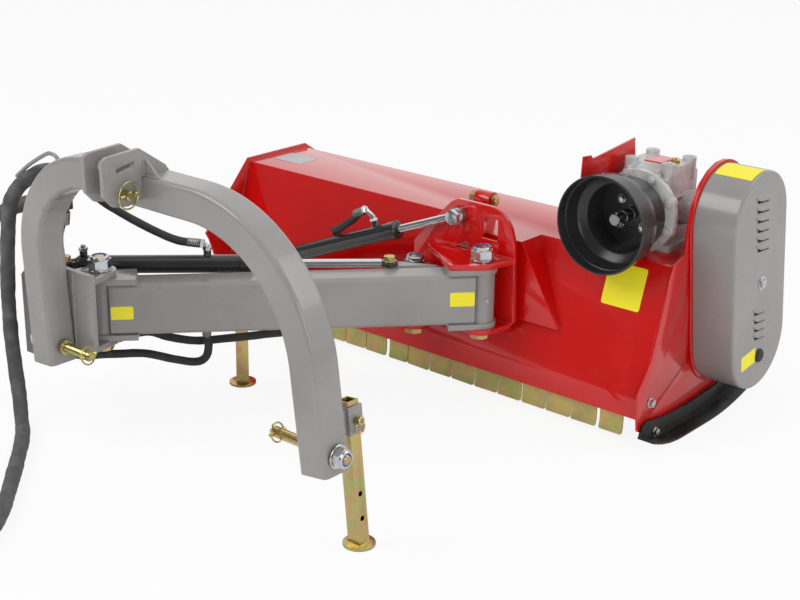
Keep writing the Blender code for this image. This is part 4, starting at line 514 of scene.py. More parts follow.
inside = ARCH_TUBE / 2 - ARCH_WALL
upward = (path[1] - path[0]).normalized()
rings = [tube_ring(path[0] + upward * 0.06, upward, inside, 0.005),
         tube_ring(path[0], upward, inside, 0.005)]
centre = Vector((CORNERS_X[0] + BENDS[0], 0, ARCH_TOP_Z - BENDS[0]))
for i, point in enumerate(path):
    ring = tube_ring(point, heading(path, i), ARCH_TUBE / 2, 0.010)
    if 1 < i < 37:
        middle = Vector((point.x, 0, point.y))
        toward = (centre - middle).normalized()
        for spot in ring:
            if (spot - middle).dot(toward) > 0.02:
                crease = 0.0012 * sin(pi * (i - 1) / 37) * sin(i * 1.2 + spot.y * 50.0)
                spot += toward * (crease - 0.0012)
    rings.append(ring)
shape = bmesh.new()
skin(shape, rings)
finished("arch_hoop", shape, GREY, "headstock", ["arch_tube"], angle=40.0)

shape = bmesh.new()
rod_y, rod_r = ARCH_TUBE / 2 + 0.0048, 0.0045
rod_line = along_route([(x, rod_y, z) for x, z in (
    (-0.384, 0.580), (-0.398, 0.628), (-0.409, 0.643), (-0.424, 0.647), (-0.445, 0.643), (-0.505, 0.610),
    (-0.556, 0.574))], 0.004)
rings = []
for i, spot in enumerate(rod_line):
    side = heading(rod_line, i).normalized().cross(BACK)
    rings.append([spot + side * rod_r * cos(a) + BACK * rod_r * sin(a) for a in around(14)])
skin(shape, rings)
finished("hose_rod", shape, GREY, "headstock", ["hose_holder"], angle=50.0)


def block(shape, low, high):
    """Adds a rectangular block between two corners."""
    x0, y0, z0 = low
    x1, y1, z1 = high
    skin(shape, [[(x0, y0, z), (x1, y0, z), (x1, y1, z), (x0, y1, z)] for z in (z0, z1)])


shape = bmesh.new()
clamp_y = ARCH_TUBE / 2 + 0.0003
for low, high in ((0.524, 0.5485), (0.5515, 0.576)):
    block(shape, (-0.447, clamp_y, low), (-0.398, clamp_y + 0.033, high))
block(shape, (-0.442, clamp_y, 0.545), (-0.403, clamp_y + 0.030, 0.555))
finished("hose_clamp_halves", shape, CLAMP_PLASTIC, "headstock", ["hose_clamp"], edge=0.0025, steps=3)


# Weld beads. Every plate of the machine is welded to what carries it, and the beads are sprayed over
# with the rest. A tree lays overlapping drops of weld along lines, each of a slightly other size.
def tree_of(name, inputs):
    """An empty geometry tree that takes a shape, some values and a finish."""
    tree = bpy.data.node_groups.new(name, "GeometryNodeTree")
    face = tree.interface
    for label, kind, value in [("Geometry", "Geometry", None), *inputs, ("Finish", "Material", None)]:
        made = face.new_socket(label, in_out="INPUT", socket_type="NodeSocket" + kind)
        if value is not None:
            made.default_value = value
    face.new_socket("Geometry", in_out="OUTPUT", socket_type="NodeSocketGeometry")
    return tree, tree.nodes.new("NodeGroupInput").outputs


def laid_out(tree, given, places, shape, smooth=False, **settings):
    """Lays a shape on places as plain copies in their finish, and ends the tree with them."""
    made = node(tree, "GeometryNodeInstanceOnPoints", {"Points": places, "Instance": shape, **settings})
    made = node(tree, "GeometryNodeRealizeInstances", {"Geometry": made.outputs[0]})
    if smooth:
        made = node(tree, "GeometryNodeSetShadeSmooth", {"Geometry": made.outputs[0]})
    made = node(tree, "GeometryNodeSetMaterial", {"Geometry": made.outputs[0], "Material": given["Finish"]})
    tree.links.new(made.outputs[0], tree.nodes.new("NodeGroupOutput").inputs[0])
    return tree


def weld_tree():
    """Drops of weld along a mesh's edges."""
    tree, given = tree_of("weld bead", [("Pitch", "Float", 0.0024), ("Width", "Float", 0.0034)])
    line = node(tree, "GeometryNodeMeshToCurve", {"Mesh": given["Geometry"]})
    even = node(tree, "GeometryNodeResampleCurve", {"Curve": line.outputs[0], "Length": given["Pitch"]},
                mode="LENGTH")
    drop = node(tree, "GeometryNodeMeshIcoSphere", {"Radius": 1.0, "Subdivisions": 2})
    size = node(tree, "FunctionNodeRandomValue", {2: 0.8, 3: 1.12, "Seed": 7}, data_type="FLOAT")
    wide = sums(tree, "MULTIPLY", size.outputs[1], given["Width"])
    long = sums(tree, "MULTIPLY", given["Pitch"], 1.15)
    scale = node(tree, "ShaderNodeCombineXYZ", {0: long, 1: wide, 2: wide})
    run = node(tree, "GeometryNodeInputTangent").outputs[0]
    turn = node(tree, "FunctionNodeAlignRotationToVector", {"Vector": run}, axis="X")
    return laid_out(tree, given, even.outputs[0], drop.outputs["Mesh"], smooth=True,
                    Rotation=turn.outputs[0], Scale=scale.outputs[0])


def grown(name, host, tree, finish, body, **values):
    """Runs a tree over a host mesh, and keeps what it makes as a plain mesh on its body."""
    values["Finish"] = finish
    host.transform(Matrix.Translation(HITCH))
    base = bpy.data.objects.new(name, host)
    bpy.context.scene.collection.objects.link(base)
    change = base.modifiers.new("grow", "NODES")
    change.node_group = tree
    for item in tree.interface.items_tree:
        if item.item_type == "SOCKET" and item.in_out == "INPUT" and item.name in values:
            change[item.identifier] = values[item.name]
    mesh = bpy.data.meshes.new_from_object(base.evaluated_get(bpy.context.evaluated_depsgraph_get()))
    bpy.data.objects.remove(base)
    made = bpy.data.objects.new(name, mesh)
    bpy.context.scene.collection.objects.link(made)
    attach(made, body)
    return made


def beads(name, lines, body, finish, width=0.0030):
    """Weld beads along lines of points."""
    host = bpy.data.meshes.new(name)
    points, edges = [], []
    for line in lines:
        edges += [(len(points) + i, len(points) + i + 1) for i in range(len(line) - 1)]
        points += [Vector(p) for p in line]
    host.from_pydata(points, edges, [])
    grown(name, host, WELD, finish, body, Pitch=0.0023, Width=width)


WELD = weld_tree()
foot_y = ARCH_TUBE / 2 + 0.0003
beads("arch_welds", [[(-0.384, foot_y, 0.578), (-0.391, foot_y, 0.604)]], "headstock", GREY, 0.0026)


# Fasteners and pins. Hitch pins, linch pins with their spring rings, and the four long pivot bolts of
# the arms: heads below in yellow zinc, bright nuts on top with a blue nylon ring round the thread.
YELLOW_ZINC = surfaced("yellow zinc plating", "yellow_zinc", plating, {
    "Colour": (0.62, 0.48, 0.19, 1), "Tint": (0.38, 0.46, 0.17, 1), "Other Tint": (0.68, 0.31, 0.22, 1),
    "Clouds": 0.78, "Cloud Scale": 9.0, "Gloss": 0.23, "Marks": 0.16}, (0.12, 0.0003), Metallic=1.0)
BRIGHT_ZINC = surfaced("bright zinc plating", "bright_zinc", plating, {
    "Colour": (0.62, 0.63, 0.65, 1), "Tint": (0.50, 0.53, 0.58, 1), "Other Tint": (0.66, 0.63, 0.57, 1),
    "Clouds": 0.6, "Cloud Scale": 40.0, "Gloss": 0.20, "Marks": 0.15}, (0.12, 0.0002), Metallic=1.0)
BLUE_NYLON = surfaced("blue nylon ring", "bright_zinc", enamel, {
    "Colour": (0.010, 0.075, 0.40, 1), "Shade": (0.008, 0.05, 0.28, 1), "Gloss": 0.38, "Dust": 0.04},
    (0.1, 0.0002))
ARM_TURN = radians(47.4)
ARM_RUN = Vector((cos(ARM_TURN), sin(ARM_TURN), 0))
ARM_SIDE = Vector((-ARM_RUN.y, ARM_RUN.x, 0))
ARM_LENGTH = 0.8643
A1 = Vector((-0.405, 0.135, 0))
A2 = A1 - Vector((0.198, 0, 0))
B1 = A1 + ARM_RUN * ARM_LENGTH
B2 = A2 + ARM_RUN * ARM_LENGTH
ARM_Z = {"front": (0.221, 0.342), "rear": (0.183, 0.275)}
COLLAR_T = 0.012
RUN_GAP = 0.0004
LUG_T = 0.013
HITCH_PIN_Z = 0.231
TOP_PIN = Vector((-0.073, -0.080, 0.658))
CHEEK_REACH = 0.032


def disc(length, radius, edge, hole=0.0):
    """The profile of a bar or a washer with broken edges."""
    return [(0, hole), (0, radius - edge), (edge, radius), (length - edge, radius), (length, radius - edge),
            (length, hole)]


def band(length, outer, inner=0.0):
    """The profile of a bar or a ring with sharp edges."""
    return [(0, inner), (0, outer), (length, outer), (length, inner)]


def nut(shape, base, direction, flats, height, sides=48):
    """Adds a hexagon nut or bolt head, chamfered at both ends."""
    ahead = Vector(direction).normalized()
    side, up = square_to(ahead)
    small = flats / 2 * 0.985
    rings = [[], [], [], []]
    for turn in around(sides):
        wide = flats / 2 / cos((turn + pi / 6) % (pi / 3) - pi / 6)
        drop = (wide - small) * 0.55
        out = side * cos(turn) + up * sin(turn)
        ends = ((0, small), (drop, wide), (height - drop, wide), (height, small))
        for ring, (along, radius) in zip(rings, ends):
            ring.append(Vector(base) + ahead * along + out * radius)
    skin(shape, rings)


def rod(shape, start, end, radius, sides=40, edge=0.0008):
    """Adds a round bar with broken edges."""
    run = Vector(end) - Vector(start)
    turned(shape, disc(run.length, radius, edge), start, run, sides)


def threaded(shape, base, direction, radius, height):
    """Adds the threaded end of a bolt."""
    pitch = 0.0015
    profile = [(0, 0), (0, radius)]
    for k in range(int(height / pitch) - 1):
        profile += [(k * pitch + 0.0004, radius), (k * pitch + 0.0011, radius * 0.93)]
    profile += [(height - 0.0008, radius * 0.93), (height, radius * 0.84), (height, 0)]
    turned(shape, profile, base, direction, 32)


def washer(shape, base, direction, radius, thick):
    """Adds a washer with its pressed edge."""
    turned(shape, disc(thick, radius, min(0.0008, thick / 3)), base, direction, 48)


def bolted(shape, base, direction, radius, thick, flats, height):
    """Adds a washer and the nut or bolt head that presses it down."""
    washer(shape, base, direction, radius, thick)
    nut(shape, Vector(base) + Vector(direction) * (thick + 0.0001), direction, flats, height)


def hoop(shape, centre, axis, radius, wire):
    """Adds a closed ring of wire."""
    ahead = Vector(axis).normalized()
    side, up = square_to(ahead)
    rings = []
    for a in around(48):
        out = side * cos(a) + up * sin(a)
        rings.append([Vector(centre) + out * (radius + wire * cos(b)) + ahead * wire * sin(b)
                      for b in around(10)])
    skin(shape, rings + rings[:1], closed=False)


def linch(shape, centre, ring_axis, ring=0.019):
    """Adds a linch pin through a shaft, and the spring ring that holds it."""
    rod(shape, centre - BACK * 0.021, centre + BACK * 0.016, 0.0034, 20)
    turned(shape, [(0, 0), (0, 0.0048), (0.001, 0.0056), (0.007, 0.0056), (0.008, 0.0048), (0.008, 0)],
           centre + BACK * 0.0125, BACK, 24)
    hoop(shape, centre, ring_axis, ring, 0.0019)


shape = bmesh.new()
spot = lambda x: TOP_PIN + RIGHT * x
rod(shape, spot(-CHEEK_REACH - 0.010), spot(CHEEK_REACH + 0.020), 0.0095, 40, 0.0025)
turned(shape, [(0, 0), (0, 0.0135), (0.002, 0.0155), (0.0097, 0.0155), (0.0117, 0.0143), (0.0117, 0)],
       spot(-CHEEK_REACH - 0.012), RIGHT)
linch(shape, spot(CHEEK_REACH + 0.012), (1, 0.12, 0), 0.0265)
finished("top_link_pin_turned", shape, YELLOW_ZINC, "headstock", ["top_link_pin"])

for name, side, x in (("left", -1, -0.41057), ("right", 1, 0.40332)):
    inner, outer = x - side * 0.038, x + side * 0.038
    tip = inner - side * 0.095
    length = abs(outer - tip) + 0.003
    at = lambda value: Vector((value, 0, HITCH_PIN_Z))
    run = RIGHT * side
    shape = bmesh.new()
    turned(shape, [(0, 0), (0, 0.0075), (0.006, 0.011), (length, 0.011), (length, 0)], at(tip), run)
    turned(shape, [(0, 0), (0, 0.0155), (0.0012, 0.017), (0.0105, 0.017), (0.0117, 0.016), (0.0117, 0)],
           at(inner - side * 0.012), run)
    linch(shape, at(tip + side * 0.013), (1, 0.1, 0.25))
    finished(f"{name}_hitch_pin_turned", shape, YELLOW_ZINC, "headstock", [f"lower_hitch_pin_{name}"])
    shape, ring, stub = bmesh.new(), bmesh.new(), bmesh.new()
    bolted(shape, at(outer + side * 0.0003), run, 0.0245, 0.003, 0.0380, 0.0150)
    turned(shape, [(0, 0.0130), (0, 0.0178), (0.0035, 0.0178), (0.0047, 0.0162), (0.0047, 0.0130)],
           at(outer + side * 0.0180), run)
    finished(f"{name}_hitch_nut", shape, BRIGHT_ZINC, "headstock")
    turned(ring, band(0.0042, 0.0129, 0.0102), at(outer + side * 0.0180), run)
    finished(f"{name}_hitch_nut_ring", ring, BLUE_NYLON, "headstock")
    threaded(stub, at(outer + side * 0.017), run, 0.0100, 0.008)
    finished(f"{name}_hitch_pin_thread", stub, YELLOW_ZINC, "headstock")

for name, centre, arm, body in (("front_arm_bolt", A1, "front", "headstock"),
                                ("rear_arm_bolt", A2, "rear", "headstock"),
                                ("front_arm_outer_bolt", B1, "front", "bracket"),
                                ("rear_arm_outer_bolt", B2, "rear", "bracket")):
    low, high = ARM_Z[arm]
    top = centre + UP * (high + COLLAR_T + RUN_GAP + LUG_T)
    under = centre + UP * (low - COLLAR_T - RUN_GAP - LUG_T)
    shape, ring = bmesh.new(), bmesh.new()
    bolted(shape, top + UP * 0.0003, UP, 0.0275, 0.0039, 0.0475, 0.0220)
    turned(shape, [(0, 0.0163), (0, 0.0222), (0.0055, 0.0222), (0.0078, 0.0195), (0.0078, 0.0163)],
           top + UP * 0.0258, UP, 56)
    finished(name + "_nut", shape, BRIGHT_ZINC, body, [name])
    turned(ring, band(0.0066, 0.0162, 0.0132), top + UP * 0.0262, UP, 56)
    finished(name + "_nylon", ring, BLUE_NYLON, body)
    shape = bmesh.new()
    threaded(shape, top + UP * 0.0225, UP, 0.0131, 0.0095)
    turned(shape, band(top.z - under.z + 0.02, 0.0135), under, UP)
    nut(shape, under - UP * 0.0003, -UP, 0.041, 0.0175)
    finished(name + "_shank", shape, YELLOW_ZINC, body)


# Top link plates. Two flame-cut cheeks stand on the arch, each with a slot, a pin hole and a small web,
# and are welded to it along both faces.
def softened(source, name, material, body, edge=0.0012, steps=2):
    """The CAD piece with its flats made whole again and its edges broken, in its own place."""
    shape = bmesh.new()
    shape.from_mesh(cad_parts[source].data)
    bmesh.ops.translate(shape, vec=-HITCH, verts=shape.verts)
    bmesh.ops.remove_doubles(shape, verts=shape.verts, dist=2e-6)
    bmesh.ops.dissolve_limit(shape, angle_limit=radians(0.6), verts=shape.verts, edges=shape.edges)
    finished(name, shape, material, body, [source], edge, steps, angle=30.0)


arch_top = ARCH_TOP_Z + ARCH_TUBE / 2 + 0.0003
for name, side in (("left", -1), ("right", 1)):
    softened(f"top_link_plate_{name}", f"cheek_{name}", GREY, "headstock", 0.0014, 3)
    outside_x, inside_x, web_y = TOP_PIN.x + side * CHEEK_REACH, TOP_PIN.x + side * 0.0220, -0.0295
    lines = [[(x, -0.034, arch_top), (x, 0.030, arch_top)] for x in (outside_x, inside_x)]
    lines += [[(outside_x, web_y, arch_top), end] for end in (
        (outside_x + side * 0.038, web_y, arch_top), (outside_x, web_y, arch_top + 0.030))]
    beads(f"cheek_{name}_welds", lines, "headstock", GREY, 0.0026)


# Pivot bracket. Plates welded behind the arch's left leg carry both arms' inner pins and the foot of
# the offset cylinder.
softened("pivot_bracket", "pivot_bracket_plates", GREY, "headstock", 0.0014, 3)
spine_y = 0.0473
lines = []
for centre, arm, low_x, high_x in ((A1, "front", -0.455, -0.355), (A2, "rear", -0.559, -0.502)):
    low, high = ARM_Z[arm]
    for z in (high + COLLAR_T + RUN_GAP, low - COLLAR_T - RUN_GAP - LUG_T):
        for level in (z, z + LUG_T):
            lines.append([(low_x, spine_y, level), (high_x, spine_y, level)])
for x in (-0.537, -0.527):
    lines.append([(x, spine_y, 0.180), (x, spine_y, 0.335)])
for x in (-0.440, -0.375):
    lines.append([(x, 0.0353, 0.212), (x + 0.001, 0.0353, 0.390)])
beads("pivot_bracket_welds", lines, "headstock", GREY, 0.0030)


# Parking stands. Square tubes with round feet, plated yellow, held at their height by a drop pin with a
# pull ring. The near one slides in a sleeve strapped to the arch, the far one through the rear arm.
for source, name, body in (("near_stand_leg", "near_stand_tube", "headstock"),
                           ("far_stand_leg", "far_stand_tube", "rear_arm_body")):
    softened(source, name, YELLOW_ZINC, body, 0.0018, 3)
softened("near_stand_sleeve", "near_stand_socket", GREY, "headstock", 0.0010)
STAND_LEAN = radians(6.3)
NEAR_STAND = Vector((0.415, 0.090, 0))
FAR_STAND = A2 + ARM_RUN * 0.449 + ARM_SIDE * (0.025 + 0.0003 + 0.015 + 0.004 + 0.0003)
lean = Matrix.Rotation(-STAND_LEAN, 3, "Y")
for name, centre, run, body, pin_z in (("near", NEAR_STAND, RIGHT, "near_stand_pin_body", 0.264),
                                       ("far", FAR_STAND, ARM_RUN, "far_stand_pin_body", 0.238)):
    middle = centre + UP * pin_z
    shape = bmesh.new()
    rod(shape, middle - run * 0.035, middle + run * 0.035, 0.0050, 28)
    turned(shape, [(0, 0), (0, 0.0075), (0.001, 0.0085), (0.011, 0.0085), (0.012, 0.0072), (0.012, 0)],
           middle + run * 0.023, run, 32)
    hoop(shape, middle + run * 0.029 - UP * 0.014, run, 0.012, 0.0018)
    if name == "near":
        bmesh.ops.rotate(shape, cent=NEAR_STAND, matrix=lean, verts=shape.verts)
    finished(f"{name}_stand_drop_pin", shape, YELLOW_ZINC, body, [f"{name}_stand_pin"])


# Arms. Two box-section arms with forged ends keep the head square to the tractor while it swings out.
# The front one carries the offset cylinder's lug, two plain yellow labels and a grease nipple.
LABEL_YELLOW = surfaced("yellow label film", "yellow_zinc", enamel, {
    "Colour": (0.97, 0.86, 0.018, 1), "Shade": (0.93, 0.79, 0.016, 1), "Drift": 0.4, "Drift Scale": 14.0,
    "Gloss": 0.34, "Dust": 0.08}, (0.04, 0.0002))
for arm in ("front", "rear"):
    softened(f"{arm}_arm", f"{arm}_arm_box", GREY, f"{arm}_arm_body", 0.0024, 3)


def label(name, corner, across, up, wide, tall, material, body, radius=0.0035, thick=0.0004):
    """A plain plate or film on a flat, from its lower corner, with rounded corners."""
    across, up = Vector(across).normalized(), Vector(up).normalized()
    out = across.cross(up)
    middle = Vector(corner) + across * wide / 2 + up * tall / 2
    rings = []
    for inset, lift in ((0.0, -0.0002), (0.0, thick * 0.6), (thick * 0.6, thick)):
        outline = []
        for quarter, (a, b) in enumerate(QUARTERS):
            for i in range(7):
                turn = pi / 2 * (quarter + i / 6)
                x = a * (wide / 2 - radius) + (radius - inset) * cos(turn)
                y = b * (tall / 2 - radius) + (radius - inset) * sin(turn)
                outline.append(middle + across * x + up * y + out * lift)
        rings.append(outline)
    shape = bmesh.new()
    skin(shape, rings)
    finished(name, shape, material, body)


ARM_HALF = {"front": 0.0375, "rear": 0.025}
for name, along, low, wide, tall in (("inner", 0.0215, 0.2600, 0.0500, 0.0310),
                                     ("outer", 0.7870, 0.2680, 0.0570, 0.0340)):
    corner = A1 + ARM_RUN * along - ARM_SIDE * ARM_HALF["front"] + UP * low
    label(f"front_arm_{name}_label", corner, ARM_RUN, UP, wide, tall, LABEL_YELLOW, "front_arm_body")
for arm, inner, outer in (("front", A1, B1), ("rear", A2, B2)):
    lines = []
    for centre, run in ((inner, ARM_RUN), (outer, -ARM_RUN)):
        tip, across = centre + run * 0.080, ARM_SIDE * (ARM_HALF[arm] - 0.006)
        lines += [[tip + across + UP * z, tip - across + UP * z] for z in ARM_Z[arm]]
    beads(f"{arm}_arm_welds", lines, f"{arm}_arm_body", GREY, 0.0028)
shape = bmesh.new()
nipple_run = Vector((0.89, -0.45, 0)).normalized()
nipple = [(0, 0), (0, 0.0040), (0.004, 0.0040), (0.0045, 0.0026), (0.0065, 0.0022), (0.0078, 0.0031),
          (0.0095, 0.0030), (0.0105, 0.0014), (0.0105, 0)]
turned(shape, nipple, B1 + nipple_run * 0.0315 + UP * 0.2777, nipple_run, 20)
finished("front_arm_grease_nipple", shape, BRIGHT_ZINC, "front_arm_body")


# Hydraulic cylinders. Black painted barrels with a gland nut at the mouth, chromed rods, forged eyes at
# both ends, and the ports that their hoses screw into. One swings the arms, the other tilts the head.
BLACK = surfaced("black gloss enamel", "black_paint", enamel, {
    "Colour": (0.0200, 0.0200, 0.0205, 1), "Shade": (0.030, 0.030, 0.031, 1), "Drift": 0.5,
    "Drift Scale": 8.0, "Peel Scale": 300.0, "Dust": 0.07, "Gloss": 0.20, "Gloss Drift": 0.12},
    (0.16, 0.0003), Coat_Weight=0.4, Coat_Roughness=0.08)
CHROME = surfaced("chromed rod", "chrome", plating, {
    "Colour": (0.78, 0.79, 0.81, 1), "Tint": (0.72, 0.74, 0.77, 1), "Other Tint": (0.80, 0.79, 0.77, 1),
    "Clouds": 0.4, "Cloud Scale": 12.0, "Gloss": 0.06, "Marks": 0.06}, (0.03, 0.0001), Metallic=1.0)
STEEL = surfaced("machined steel", "bare_steel", plating, {
    "Colour": (0.42, 0.42, 0.42, 1), "Tint": (0.34, 0.34, 0.34, 1), "Other Tint": (0.40, 0.37, 0.33, 1),
    "Clouds": 0.5, "Cloud Scale": 35.0, "Gloss": 0.30, "Marks": 0.2}, (0.2, 0.0003), Metallic=1.0)
CYL_R = 0.0210
ROD_R = 0.0100
NECK = 0.031
EYE_R = 0.020
EYE_BORE = 0.0084


def knuckle(shape, centre, axis, thick):
    """Adds a forged eye with its bore and broken edges."""
    turned(shape, disc(thick, EYE_R, 0.0012, EYE_BORE), centre - axis * thick / 2, axis, 48)


def cylinder(prefix, body, slide, base, eye, barrel, pin, port, ports, eye_t, rod_eye_t, hose_end):
    """Barrel with its eye, gland and ports on one body, rod and rod eye on the other."""
    ahead, total = (eye - base).normalized(), (eye - base).length
    shape, fittings = bmesh.new(), bmesh.new()
    knuckle(shape, base, pin, eye_t)
    profile = [(0.014, 0), (0.014, 0.0125), (0.024, 0.0150), (0.029, 0.0190), (0.031, 0.0205),
               (0.033, CYL_R), (0.038, CYL_R), (0.0385, CYL_R - 0.0006), (0.040, CYL_R - 0.0006),
               (0.0405, CYL_R), (barrel - 0.032, CYL_R), (barrel - 0.0315, CYL_R - 0.0008),
               (barrel - 0.030, CYL_R - 0.0008), (barrel - 0.0295, CYL_R + 0.0015),
               (barrel - 0.003, CYL_R + 0.0015), (barrel - 0.001, CYL_R), (barrel, CYL_R - 0.002),
               (barrel, ROD_R + 0.0035), (barrel + 0.001, ROD_R + 0.003), (barrel + 0.001, ROD_R + 0.0003),
               (barrel - 0.01, ROD_R + 0.0003), (barrel - 0.01, 0)]
    turned(shape, profile, base, ahead, 64)
    for t in ports:
        seat = base + ahead * t
        turned(shape, [(0, 0), (0, 0.0090), (0.0120, 0.0090), (0.0140, 0.0080), (0.0140, 0)],
               seat + port * (CYL_R - 0.001), port, 28)
        nut(fittings, seat + port * (CYL_R + 0.0128), port, 0.0185, 0.0070)
        turned(fittings, [(0, 0), (0, 0.0060), (0.0060, 0.0060), (0.0070, 0.0050), (0.0070, 0)],
               seat + port * (CYL_R + 0.0195), port, 24)
    finished(f"{prefix}_barrel_painted", shape, BLACK, body, [f"{prefix}_barrel"])
    top = seat + port * (CYL_R + 0.0180)
    end, beyond = (Vector(p) for p in hose_end)
    away = (end - beyond).normalized()
    nut(fittings, end + away * 0.0005, away, 0.0190, 0.0085)
    elbow = along_route([top, top + port * 0.004, top.lerp(end + away * 0.009, 0.55) + port * 0.002,
                         end + away * 0.007, end], 0.002)
    side, rings = square_to(elbow[1] - elbow[0])[0], []
    for i, point in enumerate(elbow):
        run = heading(elbow, i).normalized()
        side = (side - run * side.dot(run)).normalized()
        up = run.cross(side)
        rings.append([point + (side * cos(a) + up * sin(a)) * 0.0058 for a in around(20)])
    skin(fittings, rings)
    finished(f"{prefix}_fittings", fittings, BRIGHT_ZINC, body)
    shape = bmesh.new()
    rod(shape, base + ahead * (barrel - 0.020), base + ahead * (total - 0.018), ROD_R, 48)
    finished(f"{prefix}_rod_chromed", shape, CHROME, slide, [f"{prefix}_rod"])
    shape = bmesh.new()
    knuckle(shape, eye, pin, rod_eye_t)
    neck = min(0.0094, rod_eye_t * 0.75)
    turned(shape, [(0, 0), (0, neck), (0.0120, neck), (0.0140, neck - 0.0010), (0.0140, 0)],
           eye - ahead * 0.032, ahead, 32)
    finished(f"{prefix}_rod_eye", shape, STEEL if pin.y else BLACK, slide)


SWING_FOOT = Vector((-0.532, 0.136, 0.350))
SWING_EYE = Vector((0.007, 0.648, 0.350))
cylinder("swing_cylinder", "offset_barrel", "offset_rod", SWING_FOOT, SWING_EYE, 0.430, UP, UP,
         (NECK + 0.012, 0.430 - 0.105), 0.016, 0.0088, HOSES["swing_cylinder_hose"][4][:-3:-1])
TILT_FOOT = Vector((-0.540, 0.8096, 0.195))
TILT_EYE = Vector((0.078, 0.8096, 0.444))
above = (TILT_EYE - TILT_FOOT).cross(BACK).normalized()
cylinder("tilt_cylinder", "tilt_barrel", "tilt_rod", TILT_FOOT, TILT_EYE, 0.470, BACK, above,
         (NECK + 0.012, 0.470 - 0.070), 0.020, 0.020, HOSES["tilt_cylinder_hose"][4][:2])

for name, place, body, thick, drop in (("swing_base_bolt", SWING_FOOT, "headstock", 0.016, 0.010),
                                       ("swing_rod_bolt", SWING_EYE, "offset_rod", 0.0088, 0.0)):
    shape = bmesh.new()
    rod(shape, place - UP * (thick / 2 + drop), place + UP * (thick / 2 + 0.004), 0.0080, 32)
    bolted(shape, place + UP * (thick / 2 + 0.0003), UP, 0.016, 0.003, 0.024, 0.0098)
    finished(name + "_turned", shape, YELLOW_ZINC, body, [name])
for name, place, body, finish in (("tilt_base_bolt", TILT_FOOT, "deck", YELLOW_ZINC),
                                  ("tilt_rod_nut", TILT_EYE, "tilt_rod", BRIGHT_ZINC)):
    shape = bmesh.new()
    rod(shape, place + BACK * 0.010, place - BACK * 0.0223, 0.0080, 32)
    bolted(shape, place - BACK * 0.0103, -BACK, 0.0205, 0.0027, 0.033, 0.0150)
    finished(name + "_turned", shape, finish, body, [name])


# Tilt bracket. A red plate with a window, lugs for both arms' outer pins welded to its front, and the
# stout shaft that the head tilts on.
RED = surfaced("red gloss enamel", "red_gloss_paint", enamel, {
    "Colour": (0.60, 0.0030, 0.0022, 1), "Shade": (0.50, 0.0020, 0.0016, 1), "Drift": 0.6,
    "Drift Scale": 3.5, "Peel Scale": 210.0, "Dust": 0.015, "Gloss": 0.22, "Gloss Drift": 0.10},
    (0.14, 0.0004), Coat_Weight=1.0, Coat_Roughness=0.05, Specular_IOR_Level=0.25)
softened("tilt_bracket", "tilt_bracket_plates", RED, "bracket", 0.0014, 3)
plate_y = 0.820
lines = [[(x - left, plate_y, z), (x + right, plate_y, z)] for x, left, right, z in (
    (B1.x, 0.046, 0.046, 0.2086), (B1.x, 0.175, 0.046, 0.3674), (B2.x, 0.036, 0.036, 0.3004),
    (B2.x, 0.036, 0.036, 0.1706))]
beads("tilt_bracket_welds", lines, "bracket", RED)
shape = bmesh.new()
TILT_AXIS = Vector((0.090, 0, 0.360))
rod(shape, TILT_AXIS + BACK * 0.821, TILT_AXIS + BACK * 0.961, 0.0200, 56, 0.0015)
washer(shape, TILT_AXIS + BACK * 0.9353, BACK, 0.030, 0.004)
nut(shape, TILT_AXIS + BACK * 0.9395, BACK, 0.052, 0.0155)
finished("tilt_shaft_turned", shape, STEEL, "bracket", ["tilt_shaft"])


# Hood. Sheet folded over the rotor, with a slanted housing in front for the tilt shaft and a lug on top
# for the stay. It carries a plain data plate and a plain yellow label.
softened("hood", "hood_shell", RED, "deck", 0.0016, 3)
PLATE_METAL = surfaced("brushed data plate", "bright_zinc", plating, {
    "Colour": (0.52, 0.52, 0.53, 1), "Tint": (0.46, 0.46, 0.47, 1), "Other Tint": (0.56, 0.55, 0.53, 1),
    "Clouds": 0.4, "Cloud Scale": 30.0, "Gloss": 0.36, "Marks": 0.1}, (0.2, 0.0002), Metallic=1.0)
foot, brow = Vector((0, 0.861, 0.205)), Vector((0, 0.926, 0.404))
slope = (brow - foot).normalized()
corner = foot + slope * ((0.2935 - foot.z) / slope.z) + RIGHT * 0.4300
label("hood_front_label", corner, RIGHT, slope, 0.100, 0.098, LABEL_YELLOW, "deck", 0.006)
label("hood_data_plate", (-0.715, 0.992, brow.z), RIGHT, BACK, 0.100, 0.075, PLATE_METAL, "deck", 0.004,
      0.0008)
profile = [(0.8315, 0.070), (0.8315, 0.122), foot.yz, brow.yz, (1.140, 0.404), (1.250, 0.330),
           (1.310, 0.220)]
beads("hood_end_welds", [[(x, y, z) for y, z in profile] for x in (-0.7365, 0.5845)], "deck", RED, 0.0024)
STAY = Vector((0.030, 0.935, 0.454))
shape = bmesh.new()
rod(shape, STAY - RIGHT * 0.012, STAY + RIGHT * 0.066, 0.0080, 32)
nut(shape, STAY - RIGHT * 0.008, RIGHT, 0.026, 0.0175)
nut(shape, STAY + RIGHT * 0.0543, RIGHT, 0.026, 0.0095)
finished("stay_bolt", shape, YELLOW_ZINC, "deck", ["stay_pin"])


